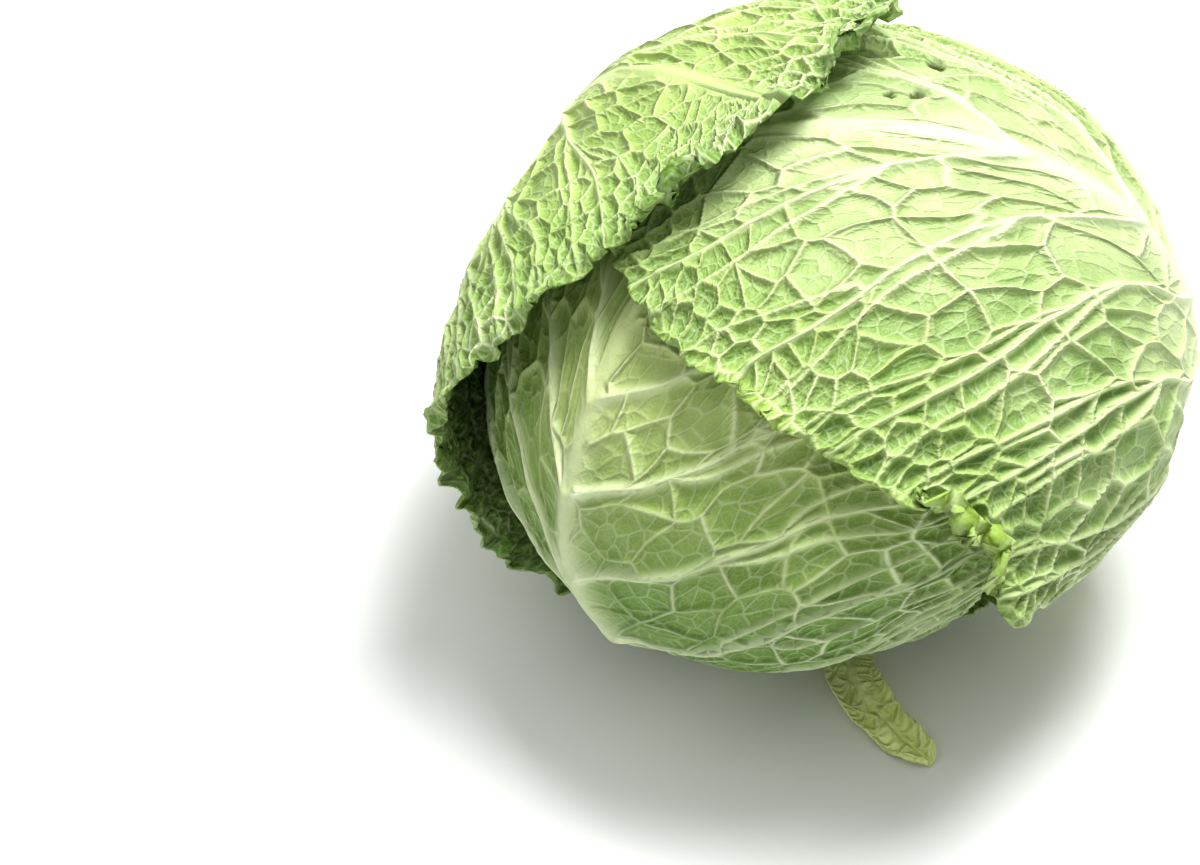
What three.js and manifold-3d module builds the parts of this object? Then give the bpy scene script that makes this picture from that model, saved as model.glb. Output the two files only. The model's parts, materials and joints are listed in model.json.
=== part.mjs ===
// A whole savoy cabbage head: a cut stalk, a dense heart and wrapper leaves in layers, each leaf with a
// raised midrib, side ribs, a raised net and a ruffled margin. Millimetres, +Z up, resting at z = 0.
// The head has its own frame, whose -Z pole is the stalk. It leans a little towards -X.
import * as THREE from "three";
import { mergeVertices } from "three/addons/utils/BufferGeometryUtils.js";
import Module from "manifold-3d";

const { clamp, lerp, smoothstep, degToRad, radToDeg } = THREE.MathUtils;

// ---------------------------------------------------------------- driving dimensions
const HEAD_RADIUS = 98; // of the closed head, over its outer leaves
const HEAD_HALF_HEIGHT = 78.5; // along the head's own axis
const CENTRE_HEIGHT = 78.5; // of the head's centre over the surface it rests on
const LEAN = degToRad(11);
const LEAF_THICKNESS = 1.3;

const STALK_RADIUS = 19;
const STALK_LOBE = 1.2; // how far the leaf scars stand out of the stalk
const STALK_TOP = 42; // below the head's centre, along its axis
const FIT_GAP = 0.4; // between the stalk and the heart that grows round it

const OFFSET_ANGLES = [70, 115]; // degrees from the stalk over which a layer's height changes
const OUTLINE_POWER = 2.6; // of a blade's rounded outline: 2 is an ellipse, more is squarer
const MIDRIB_REACH = 0.78; // share of a blade's length at which its midrib ends
const RIB_SWEEP = 1.3; // how closely the side ribs start near the stalk: 1 is evenly spread
const RIB_BEND = 0.2; // share of a side rib's forward sweep that it keeps for its outer end
const ROWS_PER_RIB = 3; // grid rows from one side rib to the next
const SIDE_RIB = 1.5; // height of the side ribs over the blade's middle surface
const NET_RIDGE = 0.7; // and of the net between them
const NET_PIT = 1.3; // depth of the pits in the net
const MIDRIB_SPREAD = 4.5; // degrees from a midrib's crest in which it falls to a third
const SCALLOP = 0.02; // how far every second margin point is drawn in, as a share of the width

// Shallow hollows of the whole head: round the stalk, low on the front where a leaf has been peeled, and two
// flatter sides. Azimuth, latitude and spread are in degrees, depth in millimetres.
const HOLLOWS = [
  { azimuth: 0, latitude: -90, depth: 5, spread: 17 },
  { azimuth: 288, latitude: -31, depth: 7, spread: 24 },
  { azimuth: 15, latitude: 8, depth: 3.5, spread: 32 },
  { azimuth: 158, latitude: 32, depth: 4, spread: 24 },
];

const PALE_GREEN = 0xaed069;
const LEAF_GREEN = 0x9cc455;
const DEEP_GREEN = 0x86b348;
const LOBE_GREEN = 0xa8c165;
const HEART_GREEN = 0xdce8a8;
const STALK_CREAM = 0xe6e8c2;

// Wrapper leaves, outermost first. Angles are in degrees: base and tip are counted along the midrib from the
// stalk's pole, widths across it to its left and right. offset is the layer's height over the closed head at
// the leaf's base and top. lift raises a patch that no other leaf covers, and lobe a hanging part of the
// margin. narrowing draws in the margin below that lobe.
const WRAPPERS = [
  {
    name: "leaf_rear_left", azimuth: 135.5, offset: [0.6, 7.5], base: 14, tip: 186, widths: [62, 50],
    rows: 33, columns: 10, rib: 4.5, flare: [5, 3], frill: 3.6, colour: DEEP_GREEN,
    lift: { azimuth: 108, latitude: 47, height: 3, inner: 10, outer: 40 },
  },
  {
    name: "leaf_right", azimuth: 358, offset: [0, 0], base: 14, tip: 207, widths: [58, 66],
    rows: 36, columns: 11, rib: 4.5, flare: [2, 2.5], frill: 2.6, colour: LEAF_GREEN,
    lobe: { side: 1, from: 0.3, to: 0.43, height: 6 },
    narrowing: { side: 1, to: 0.38, share: 0.42 },
  },
  {
    name: "leaf_left", azimuth: 226, offset: [-5, -5], base: 14, tip: 184, widths: [72, 58],
    rows: 30, columns: 9, rib: 7.5, flare: [0, 0], frill: 0.8, colour: PALE_GREEN,
    lift: { azimuth: 246, latitude: -6, height: 3, inner: 20, outer: 40 },
  },
  {
    name: "leaf_rear_right", azimuth: 83, offset: [-10, -10], base: 14.5, tip: 178, widths: [56, 56],
    rows: 25, columns: 8, rib: 5.5, flare: [0, 0], frill: 0.8, colour: LEAF_GREEN,
    lift: { azimuth: 72, latitude: -14, height: 5, inner: 4, outer: 24 },
  },
  {
    name: "leaf_front", azimuth: 305.5, offset: [-15, -15], base: 15, tip: 172, widths: [54, 54],
    rows: 22, columns: 7, rib: 5, flare: [0, 0], frill: 0.8, colour: PALE_GREEN,
  },
  {
    name: "leaf_inner_left", azimuth: 168, offset: [-20, -20], base: 16, tip: 166, widths: [52, 52],
    rows: 19, columns: 6, rib: 4, flare: [0, 0], frill: 0.8, colour: PALE_GREEN,
  },
];

// Inner leaves fused with the heart: like the wrappers, but each one reaches down into the core.
const HEART_OFFSET = -37;
const HEART_LEAVES = [
  { azimuth: 30.5, offset: -25.2, tip: 172 },
  { azimuth: 253, offset: -28, tip: 168 },
  { azimuth: 115.5, offset: -30.8, tip: 164 },
  { azimuth: 338, offset: -33.6, tip: 160 },
].map((leaf) => ({
  ...leaf, offset: [leaf.offset, leaf.offset], base: 19, widths: [54, 54], rows: 13, columns: 5, rib: 1.5,
  flare: [0, 0], frill: 0.6, thickness: leaf.offset - HEART_OFFSET + 3,
}));

// The peeled outer leaf's stub, which lies folded on the surface in front: from the stalk's foot to its tip.
const STUB = {
  name: "leaf_lower_front", from: [11, -24], bend: [-6, -44], to: [27, -76], halfWidth: 8, rows: 20,
  columns: 5, thickness: 1.5, colour: LOBE_GREEN,
};

// ---------------------------------------------------------------- the head's form
/** Unit direction in the head's frame, from azimuth and latitude in degrees. */
function direction(azimuth, latitude) {
  const a = degToRad(azimuth);
  const b = degToRad(latitude);
  return new THREE.Vector3(Math.cos(b) * Math.cos(a), Math.cos(b) * Math.sin(a), Math.sin(b));
}

/** Angle in degrees between two unit vectors. */
const angleBetween = (a, b) => radToDeg(Math.acos(clamp(a.dot(b), -1, 1)));

const hollowForms = HOLLOWS.map((hollow) => ({
  ...hollow, centre: direction(hollow.azimuth, hollow.latitude),
}));
const headToWorld = new THREE.Matrix4()
  .makeRotationY(-LEAN)
  .setPosition(0, 0, CENTRE_HEIGHT);

/** World point along unit direction d of the head's frame, at the given height over the closed head. */
function headPoint(d, height) {
  const fall = (hollow) => Math.exp(-((angleBetween(d, hollow.centre) / hollow.spread) ** 2));
  const sunk = hollowForms.reduce((sum, hollow) => sum + hollow.depth * fall(hollow), 0);
  const normal = new THREE.Vector3(d.x / HEAD_RADIUS, d.y / HEAD_RADIUS, d.z / HEAD_HALF_HEIGHT).normalize();
  return new THREE.Vector3(HEAD_RADIUS * d.x, HEAD_RADIUS * d.y, HEAD_HALF_HEIGHT * d.z)
    .addScaledVector(normal, height - sunk)
    .applyMatrix4(headToWorld);
}

/** Raises a point to at least the given height. */
function pressed(point, height) {
  point.z = Math.max(point.z, height);
  return point;
}

// ---------------------------------------------------------------- solids
/** Geometry of points and triangles. */
function geometryOf(points, triangles) {
  const geometry = new THREE.BufferGeometry();
  geometry.setAttribute("position", new THREE.Float32BufferAttribute(points.flatMap((p) => p.toArray()), 3));
  geometry.setIndex(triangles.flat());
  geometry.computeVertexNormals();
  return geometry;
}

/**
 * Closes an outer and an inner grid into one thin solid. Columns run from -columns to +columns. When welded,
 * columns -c and +c of the last row are one point, so the two halves meet in a seam.
 */
function sheet(rows, columns, welded, outer, inner) {
  const points = [];
  const known = new Map();
  const id = (side, row, column) => {
    const c = welded && row === rows ? Math.abs(column) : column;
    const key = `${side},${row},${c}`;
    if (!known.has(key)) {
      known.set(key, points.length);
      points.push((side === "out" ? outer : inner)(row, c));
    }
    return known.get(key);
  };
  const triangles = [];
  const quad = (a, b, c, d) => triangles.push([a, b, c], [a, c, d]);
  for (let r = 0; r < rows; r++)
    for (let c = -columns; c < columns; c++) {
      const corners = [[r, c], [r + 1, c], [r + 1, c + 1], [r, c + 1]];
      if ((r + c) % 2 !== 0) corners.push(corners.shift());
      const above = corners.map(([i, j]) => id("out", i, j));
      const [a, b, e, f] = corners.map(([i, j]) => id("in", i, j));
      quad(...above);
      triangles.push([a, e, b], [a, f, e]);
    }
  const rim = [];
  for (let c = columns; c > -columns; c--) rim.push([0, c]);
  for (let r = 0; r < rows; r++) rim.push([r, -columns]);
  if (!welded) for (let c = -columns; c < columns; c++) rim.push([rows, c]);
  for (let r = rows; r > 0; r--) rim.push([r, columns]);
  rim.forEach(([r, c], i) => {
    const [s, e] = rim[(i + 1) % rim.length];
    quad(id("out", s, e), id("out", r, c), id("in", r, c), id("in", s, e));
  });
  return geometryOf(points, triangles);
}

// ---------------------------------------------------------------- leaf blades
// Rows of a blade follow its side ribs from the midrib (column 0) to the margin. q runs from 0 at the stalk
// to 1 at the seam beyond the midrib's end, t from -1 to 1 across the blade.

/** How fully a blade's margin is drawn in at q, on the side that t is on: from 0 to 1. */
function narrowness(leaf, q, t) {
  if (!leaf.narrowing || Math.sign(t) !== leaf.narrowing.side) return 0;
  const { to } = leaf.narrowing;
  return smoothstep(q, 0.02, 0.1) * (1 - smoothstep(q, to - 0.08, to));
}

/** Unit direction in the head's frame of the point q, t of a blade. */
function bladeDirection(leaf, q, t) {
  const power = 2 / OUTLINE_POWER;
  const turn = Math.PI * lerp(0.05, 1, q);
  const middle = (leaf.base + leaf.tip) / 2;
  const reach = (leaf.tip - leaf.base) / 2;
  const cosine = Math.cos(turn);
  const marginPhi = middle - Math.sign(cosine) * reach * Math.abs(cosine) ** power;
  const marginWidth = leaf.widths[t < 0 ? 0 : 1] * Math.abs(Math.sin(turn)) ** power;
  const ribPhi = leaf.base + MIDRIB_REACH * (leaf.tip - leaf.base) * q ** RIB_SWEEP;
  const share = leaf.narrowing?.share ?? 0;
  const across = Math.abs(t) * (1 - share * narrowness(leaf, q, t) * Math.abs(t));
  const phi = degToRad(lerp(ribPhi, marginPhi, lerp(across, across ** 2, RIB_BEND)));
  const width = degToRad(Math.sign(t) * marginWidth * across);
  const azimuth = degToRad(leaf.azimuth);
  const out = new THREE.Vector3(Math.cos(azimuth), Math.sin(azimuth), 0);
  const side = new THREE.Vector3(Math.sin(azimuth), -Math.cos(azimuth), 0);
  return new THREE.Vector3(0, 0, -Math.cos(phi))
    .addScaledVector(out, Math.sin(phi))
    .multiplyScalar(Math.cos(width))
    .addScaledVector(side, Math.sin(width));
}

/** Height of the blade's middle surface over the closed head: its layer, lifted patch, lobe and margin. */
function standOff(leaf, d, row, column) {
  const q = row / leaf.rows;
  const across = Math.abs(column) / leaf.columns;
  const free = smoothstep(q, 0.04, 0.2) * (1 - narrowness(leaf, q, column));
  const edge = smoothstep(across, 0.55, 1) ** 1.5;
  const polar = angleBetween(d, new THREE.Vector3(0, 0, -1));
  let height = lerp(leaf.offset[0], leaf.offset[1], smoothstep(polar, ...OFFSET_ANGLES));
  height += leaf.flare[column < 0 ? 0 : 1] * free * edge;
  if (leaf.lift) {
    const away = angleBetween(d, direction(leaf.lift.azimuth, leaf.lift.latitude));
    height += leaf.lift.height * (1 - smoothstep(away, leaf.lift.inner, leaf.lift.outer));
  }
  if (leaf.lobe && Math.sign(column) === leaf.lobe.side) {
    const middle = (leaf.lobe.from + leaf.lobe.to) / 2;
    const reach = (leaf.lobe.to - leaf.lobe.from) / 2;
    height += leaf.lobe.height * Math.max(0, 1 - ((q - middle) / reach) ** 2) * edge;
  }
  if (across < 1 || row % 2 !== 0) return height;
  return height + leaf.frill * free * (0.75 + 0.25 * Math.sin(2.3 * row + leaf.azimuth));
}

/** Angle in degrees from a leaf's midrib to a direction on the head. */
function angleFromMidrib(leaf, d) {
  const azimuth = degToRad(leaf.azimuth);
  return Math.abs(radToDeg(Math.asin(d.x * Math.sin(azimuth) - d.y * Math.cos(azimuth))));
}

/** Height of the side ribs and net over the blade's middle surface. They fade beside the midrib. */
function relief(leaf, d, row, column) {
  const strip = Math.floor(row / ROWS_PER_RIB);
  const crossing = (Math.abs(column) + strip) % 2 === 0 ? NET_RIDGE : -NET_PIT;
  const height = row % ROWS_PER_RIB === 0 ? SIDE_RIB : crossing;
  const shallow = Math.abs(column) === leaf.columns || row === leaf.rows ? 0.3 : 1;
  return height * shallow * smoothstep(angleFromMidrib(leaf, d), 0, 1.6 * MIDRIB_SPREAD);
}

/** Height of the midrib, which stands out of the outer face only. */
function midribHeight(leaf, d, row) {
  const rise = 0.5 + leaf.rib * (1 - row / leaf.rows) ** 1.4;
  return rise * Math.exp(-((angleFromMidrib(leaf, d) / MIDRIB_SPREAD) ** 2));
}

/** One closed blade. Its midrib stands out of the outer face, and the net shows on both. */
function blade(leaf) {
  const thickness = leaf.thickness ?? LEAF_THICKNESS;
  const at = (row, column, onOuterFace) => {
    const scalloped = Math.abs(column) === leaf.columns && row % 2 === 1 ? 1 - SCALLOP : 1;
    const d = bladeDirection(leaf, row / leaf.rows, (column / leaf.columns) * scalloped);
    const height = standOff(leaf, d, row, column) + relief(leaf, d, row, column);
    return headPoint(d, height + (onOuterFace ? midribHeight(leaf, d, row) : -thickness));
  };
  const outer = (row, column) => pressed(at(row, column, true), 0);
  const inner = (row, column) => pressed(at(row, column, false), thickness);
  return sheet(leaf.rows, leaf.columns, true, outer, inner);
}

/** The folded stub of the peeled leaf, lying on the surface in front of the stalk. */
function peeledStub() {
  const [from, bend, to] = [STUB.from, STUB.bend, STUB.to].map((xy) => new THREE.Vector3(...xy, 0));
  const spine = new THREE.QuadraticBezierCurve3(from, bend, to);
  const point = (row, column, onUpperFace) => {
    const q = row / STUB.rows;
    const t = column / STUB.columns;
    const side = spine.getTangent(q).cross(new THREE.Vector3(0, 0, -1));
    const half = STUB.halfWidth * (0.35 + 0.65 * Math.sin(Math.PI * (0.12 + 0.78 * q)));
    const ruffled = Math.abs(t) === 1 && row % 2 === 0;
    const fold = 4.5 * q * Math.abs(t + 0.15) ** 1.4 + 1.2 * q * (1 + Math.cos(5 * t + 9 * q));
    const net = (row + column) % 2 === 0 ? 0.8 * q : 0;
    const rib = 1.6 * (1 - q) * Math.exp(-((3 * t) ** 2));
    const height = fold + net + (ruffled ? 1.5 * q : 0);
    return spine.getPoint(q - 0.06 * q * t * t)
      .addScaledVector(side, half * t * (ruffled ? 1.08 : 1))
      .setZ(onUpperFace ? height + STUB.thickness + rib : height);
  };
  return sheet(STUB.rows, STUB.columns, false,
    (row, column) => point(row, column, true), (row, column) => point(row, column, false));
}

// ---------------------------------------------------------------- stalk and heart
/** The stalk, grown by the given amount: lobed by its leaf scars, domed inside the head. */
function stalkGeometry(grown) {
  const rings = 9;
  const segments = 36;
  const bottom = -(HEAD_HALF_HEIGHT + 14);
  const points = [new THREE.Vector3(0, 0, bottom)];
  for (let i = 0; i < rings; i++)
    for (let j = 0; j < segments; j++) {
      const rise = i / (rings - 1);
      const turn = (j / segments) * 2 * Math.PI;
      const scars = Math.max(...WRAPPERS.map((leaf) => Math.cos(turn - degToRad(leaf.azimuth)))) ** 8;
      const dome = Math.sqrt(1 - 0.75 * rise ** 6);
      const radius = (STALK_RADIUS + STALK_LOBE * scars * Math.sin(Math.PI * rise)) * dome + grown;
      const z = lerp(bottom, -STALK_TOP + grown, rise);
      points.push(new THREE.Vector3(radius * Math.cos(turn), radius * Math.sin(turn), z));
    }
  const top = points.push(new THREE.Vector3(0, 0, -STALK_TOP + grown + 1)) - 1;
  const at = (i, j) => 1 + i * segments + (j % segments);
  const triangles = [];
  for (let j = 0; j < segments; j++) {
    triangles.push([0, at(0, j + 1), at(0, j)], [top, at(rings - 1, j), at(rings - 1, j + 1)]);
    for (let i = 0; i < rings - 1; i++) {
      triangles.push([at(i, j), at(i, j + 1), at(i + 1, j + 1)], [at(i, j), at(i + 1, j + 1), at(i + 1, j)]);
    }
  }
  return geometryOf(points.map((p) => p.applyMatrix4(headToWorld)), triangles);
}

/** The same geometry with its shared corners merged. */
function merged(geometry) {
  geometry.deleteAttribute("normal");
  geometry.deleteAttribute("uv");
  return mergeVertices(geometry);
}

/** The heart's core: the closed head, sunk to the depth of its innermost leaf. */
function coreGeometry() {
  const sphere = merged(new THREE.SphereGeometry(1, 28, 18));
  const position = sphere.getAttribute("position");
  for (let i = 0; i < position.count; i++) {
    const d = new THREE.Vector3().fromBufferAttribute(position, i).normalize();
    position.setXYZ(i, ...headPoint(d, HEART_OFFSET));
  }
  return sphere;
}

const wasm = await Module();
wasm.setup();

/** Manifold solid of a closed geometry. */
function solidOf(geometry) {
  const vertProperties = new Float32Array(geometry.getAttribute("position").array);
  const triVerts = new Uint32Array(geometry.index.array);
  return new wasm.Manifold(new wasm.Mesh({ numProp: 3, vertProperties, triVerts }));
}

/** Geometry of a manifold solid. */
function geometryFrom(solid) {
  const mesh = solid.getMesh();
  const geometry = new THREE.BufferGeometry();
  geometry.setAttribute("position", new THREE.Float32BufferAttribute(mesh.vertProperties, mesh.numProp));
  geometry.setIndex([...mesh.triVerts]);
  geometry.computeVertexNormals();
  return geometry;
}

/** The stalk with its cut face flat on the ground. */
function stalk() {
  const side = 4 * STALK_RADIUS;
  const ground = merged(new THREE.BoxGeometry(side, side, side)).translate(0, 0, -side / 2);
  return geometryFrom(solidOf(stalkGeometry(0)).subtract(solidOf(ground)));
}

/** The core and its fused leaves, with a recess for the stalk. */
function heart() {
  const leaves = HEART_LEAVES.map((leaf) => solidOf(blade(leaf)));
  const closed = leaves.reduce((body, leaf) => body.add(leaf), solidOf(coreGeometry()));
  return geometryFrom(closed.subtract(solidOf(stalkGeometry(FIT_GAP))));
}

// ---------------------------------------------------------------- the assembly
/** A named mesh with a material of its own. */
function part(name, geometry, color, roughness) {
  const mesh = new THREE.Mesh(geometry, new THREE.MeshStandardMaterial({ color, roughness, metalness: 0 }));
  mesh.name = name;
  return mesh;
}

const cabbage = new THREE.Group();
cabbage.name = "savoy_cabbage";
cabbage.add(part("stalk", stalk(), STALK_CREAM, 0.6));
cabbage.add(part("heart", heart(), HEART_GREEN, 0.55));
for (const leaf of WRAPPERS) cabbage.add(part(leaf.name, blade(leaf), leaf.colour, 0.5));
cabbage.add(part(STUB.name, peeledStub(), STUB.colour, 0.5));

// The origin is the bottom centre of the whole head's box.
const bounds = new THREE.Box3().setFromObject(cabbage);
const middle = bounds.getCenter(new THREE.Vector3());
cabbage.position.set(-middle.x, -middle.y, -bounds.min.z);

export default cabbage;
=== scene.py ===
"""Looks of a whole savoy cabbage head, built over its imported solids.

Every leaf is a fine grid that follows the same rule as its solid: a rounded blade wrapped over an oblate
head. Its side veins follow the grid's rows, a cellular net of smaller veins fills the strips between them,
and the blade sinks into a pit in every mesh of the net. Lengths in this file are millimetres and angles
degrees unless a name says otherwise; meshes are made in metres.
"""

import json
import logging
import math
from dataclasses import dataclass
from enum import Enum, IntEnum
from functools import cached_property

import bpy
import numpy as np
from mathutils import Matrix, Vector

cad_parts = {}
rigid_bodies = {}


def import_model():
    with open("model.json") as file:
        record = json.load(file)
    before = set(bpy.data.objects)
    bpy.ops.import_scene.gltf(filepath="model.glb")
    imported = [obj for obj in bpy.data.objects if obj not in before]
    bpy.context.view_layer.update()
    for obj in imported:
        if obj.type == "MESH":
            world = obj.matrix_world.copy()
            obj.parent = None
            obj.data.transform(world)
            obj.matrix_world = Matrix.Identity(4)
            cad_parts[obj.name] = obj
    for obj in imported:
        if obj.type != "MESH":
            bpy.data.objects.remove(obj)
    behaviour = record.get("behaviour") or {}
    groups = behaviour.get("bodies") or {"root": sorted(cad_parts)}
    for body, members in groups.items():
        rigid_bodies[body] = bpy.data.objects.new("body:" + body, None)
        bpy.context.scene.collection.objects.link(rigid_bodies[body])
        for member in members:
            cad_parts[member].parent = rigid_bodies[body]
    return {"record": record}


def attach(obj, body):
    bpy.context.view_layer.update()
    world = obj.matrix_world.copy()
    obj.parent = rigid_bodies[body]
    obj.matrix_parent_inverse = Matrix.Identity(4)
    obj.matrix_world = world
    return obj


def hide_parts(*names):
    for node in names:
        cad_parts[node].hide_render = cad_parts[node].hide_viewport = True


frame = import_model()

Array = np.ndarray
Colour = tuple[float, float, float, float]
MM = 0.001
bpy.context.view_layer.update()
UP = np.array([0.0, 0.0, 1.0])
DOWN = np.array([0.0, 0.0, -1.0])  # not -UP, whose negative zeros turn the azimuth of a pole round
MM_PER_DEGREE = 1.62  # over the head's surface
SMALL_NET = 2.7  # how many times finer than the first net of veins the second is
FINE_NET = 7.3  # and the third
log = logging.getLogger("savoy")


# ------------------------------------------------------------------------------------------ small helpers
def smoothstep(x: Array, low: float, high: float) -> Array:
    """Smooth rise from 0 at low to 1 at high."""
    u = np.clip((x - low) / (high - low), 0.0, 1.0)
    return u * u * (3.0 - 2.0 * u)


def bell(x: Array, width: float | Array) -> Array:
    """Bump of height 1 at x = 0 that falls to a third at width."""
    return np.exp(-((x / width) ** 2))


def unit(v: Array) -> Array:
    """Vectors of length 1 along v."""
    return v / np.maximum(np.linalg.norm(v, axis=-1, keepdims=True), 1e-12)


def srgb(red: int, green: int, blue: int) -> Colour:
    """Linear colour of a screen colour.

    Args:
        red: from 0 to 255.
        green: from 0 to 255.
        blue: from 0 to 255.

    Returns:
        The colour, opaque.
    """
    channels = [c / 255.0 for c in (red, green, blue)]
    linear = [c / 12.92 if c <= 0.04045 else ((c + 0.055) / 1.055) ** 2.4 for c in channels]
    return (*linear, 1.0)


class NoiseField:
    """Smooth seeded noise in space, from -1 to 1."""

    CELLS = 32

    def __init__(self, seed: int) -> None:
        """Fills the lattice from the seed."""
        self.table = np.random.default_rng(seed).random((self.CELLS,) * 3) * 2.0 - 1.0

    def __call__(self, points: Array, size: float) -> Array:
        """Noise value at each point.

        Args:
            points: places, with x, y, z on the last axis.
            size: length of one lattice cell.

        Returns:
            One value for each point.
        """
        p = points / size
        low = np.floor(p).astype(int)
        f = p - low
        f = f * f * (3.0 - 2.0 * f)
        total = np.zeros(p.shape[:-1])
        for corner in np.ndindex(2, 2, 2):
            weight = np.prod([f[..., k] if corner[k] else 1.0 - f[..., k] for k in range(3)], axis=0)
            index = tuple((low[..., k] + corner[k]) % self.CELLS for k in range(3))
            total += weight * self.table[index]
        return total

    def layered(self, points: Array, size: float) -> Array:
        """Noise with a second layer on it, half as high and half as long."""
        return self(points, size) + self(points + 37.0, size / 2) / 2


# ------------------------------------------------------------------------------------------ node maths
class Value:
    """A node socket or number that adds Math nodes when Python works with it."""

    def __init__(self, nodes: "Nodes", source: object) -> None:
        """Wraps a socket or number of a tree."""
        self.nodes = nodes
        self.source = source

    def _math(self, operation: str, *others: object) -> "Value":
        """Result of a Math node on this value and others."""
        return self.nodes.node("ShaderNodeMath", {"operation": operation}, [self, *others])

    def __add__(self, other: object) -> "Value":
        """Sum."""
        return self._math("ADD", other)

    def __sub__(self, other: object) -> "Value":
        """Difference."""
        return self._math("SUBTRACT", other)

    def __rsub__(self, other: object) -> "Value":
        """Difference from a number."""
        return Value(self.nodes, other)._math("SUBTRACT", self)

    def __mul__(self, other: object) -> "Value":
        """Product."""
        return self._math("MULTIPLY", other)

    def __truediv__(self, other: object) -> "Value":
        """Quotient."""
        return self._math("DIVIDE", other)

    __radd__ = __add__
    __rmul__ = __mul__

    def least(self, other: object) -> "Value":
        """The smaller of two values."""
        return self._math("MINIMUM", other)

    def most(self, other: object) -> "Value":
        """The larger of two values."""
        return self._math("MAXIMUM", other)

    def to_whole(self) -> "Value":
        """Distance to the nearest whole number."""
        return self._math("PINGPONG", 0.5)

    def bell(self, width: object) -> "Value":
        """Bump of height 1 at 0 that falls to a third at width."""
        ratio = self / width
        return (ratio * ratio * -1.0)._math("EXPONENT")

    def clamp(self) -> "Value":
        """The value kept from 0 to 1."""
        return self.nodes.node("ShaderNodeClamp", {}, [self])

    def rise(self, low: float, high: float) -> "Value":
        """Smooth rise from 0 at low to 1 at high."""
        inputs = {"Value": self, "From Min": low, "From Max": high}
        return self.nodes.node("ShaderNodeMapRange", {"interpolation_type": "SMOOTHSTEP"}, inputs)


class Nodes:
    """A node tree that is filled by Python expressions."""

    CELL_EDGES = {"feature": "DISTANCE_TO_EDGE", "voronoi_dimensions": "2D"}

    def __init__(self, tree: bpy.types.NodeTree) -> None:
        """Wraps an empty tree."""
        self.tree = tree

    def node(self, kind: str, settings: dict, inputs: dict | list, output: str | int = 0) -> Value:
        """Adds a node, its settings first and then its sockets.

        Args:
            kind: the node's type.
            settings: properties of the node.
            inputs: values or links by socket name or number, or in socket order.
            output: the socket to return.

        Returns:
            The chosen output.
        """
        made = self.tree.nodes.new(kind)
        for key, value in settings.items():
            setattr(made, key, value)
        pairs = inputs.items() if isinstance(inputs, dict) else enumerate(inputs)
        for key, value in pairs:
            self.feed(made.inputs[key], value)
        return Value(self, made.outputs[output])

    def feed(self, socket: bpy.types.NodeSocket, value: object) -> None:
        """Links or sets one input socket.

        Args:
            socket: the input.
            value: a link, or what the socket is set to.
        """
        source = value.source if isinstance(value, Value) else value
        if isinstance(source, bpy.types.NodeSocket):
            self.tree.links.new(source, socket)
        else:
            socket.default_value = source

    def cells(self, place: Value, scale: float) -> Value:
        """Distance to the nearest edge of an irregular net, as a share of a cell of the net of scale 1."""
        inputs = {"Vector": place, "Scale": scale}
        return self.node("ShaderNodeTexVoronoi", self.CELL_EDGES, inputs, "Distance") / scale

    def noise(self, place: Value, scale: float, detail: float = 3.0, roughness: float = 0.55) -> Value:
        """Fractal noise, about 0 to 1."""
        inputs = {"Vector": place, "Scale": scale, "Detail": detail, "Roughness": roughness}
        return self.node("ShaderNodeTexNoise", {}, inputs, "Fac")

    def split(self, place: Value) -> list[Value]:
        """The three coordinates of a place."""
        parts = self.node("ShaderNodeSeparateXYZ", {}, [place]).source.node.outputs
        return [Value(self, part) for part in parts]

    def stretched(self, place: Value, factors: tuple[float, float, float]) -> Value:
        """A place with each coordinate multiplied by its own factor."""
        return self.node("ShaderNodeVectorMath", {"operation": "MULTIPLY"}, [place, factors])


class Shader(Nodes):
    """A new node material with a Principled BSDF."""

    MIX_SHARE, MIX_FIRST, MIX_SECOND, MIX_COLOUR = 0, 6, 7, 2  # the colour sockets of a Mix node

    def __init__(self, name: str) -> None:
        """Makes the material.

        Args:
            name: of the material.
        """
        self.material = bpy.data.materials.new(name)
        self.material.use_nodes = True
        super().__init__(self.material.node_tree)
        self.surface = self.tree.nodes["Principled BSDF"]
        self.place = self.node("ShaderNodeTexCoord", {}, {}, "Object")

    def attribute(self, name: str) -> Value:
        """A number painted on the mesh, or 0 on a piece that doesn't have it."""
        return self.node("ShaderNodeAttribute", {"attribute_name": name}, {}, "Fac")

    def vector(self, name: str) -> Value:
        """A vector painted on the mesh."""
        return self.node("ShaderNodeAttribute", {"attribute_name": name}, {}, "Vector")

    def mix(self, share: object, first: object, second: object) -> Value:
        """Colour between two colours."""
        inputs = {self.MIX_SHARE: share, self.MIX_FIRST: first, self.MIX_SECOND: second}
        return self.node("ShaderNodeMix", {"data_type": "RGBA"}, inputs, self.MIX_COLOUR)

    def bump(self, height: Value, distance_mm: float, strength: float) -> Value:
        """Surface normal bent by a height."""
        inputs = {"Height": height, "Distance": distance_mm * MM, "Strength": strength}
        return self.node("ShaderNodeBump", {}, inputs)

    def finish(self, **sockets: object) -> bpy.types.Material:
        """Feeds the surface's sockets.

        Args:
            **sockets: values or links by socket name, with _ for a space.

        Returns:
            The finished material.
        """
        for key, value in sockets.items():
            self.feed(self.surface.inputs[key.replace("_", " ")], value)
        return self.material


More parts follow.
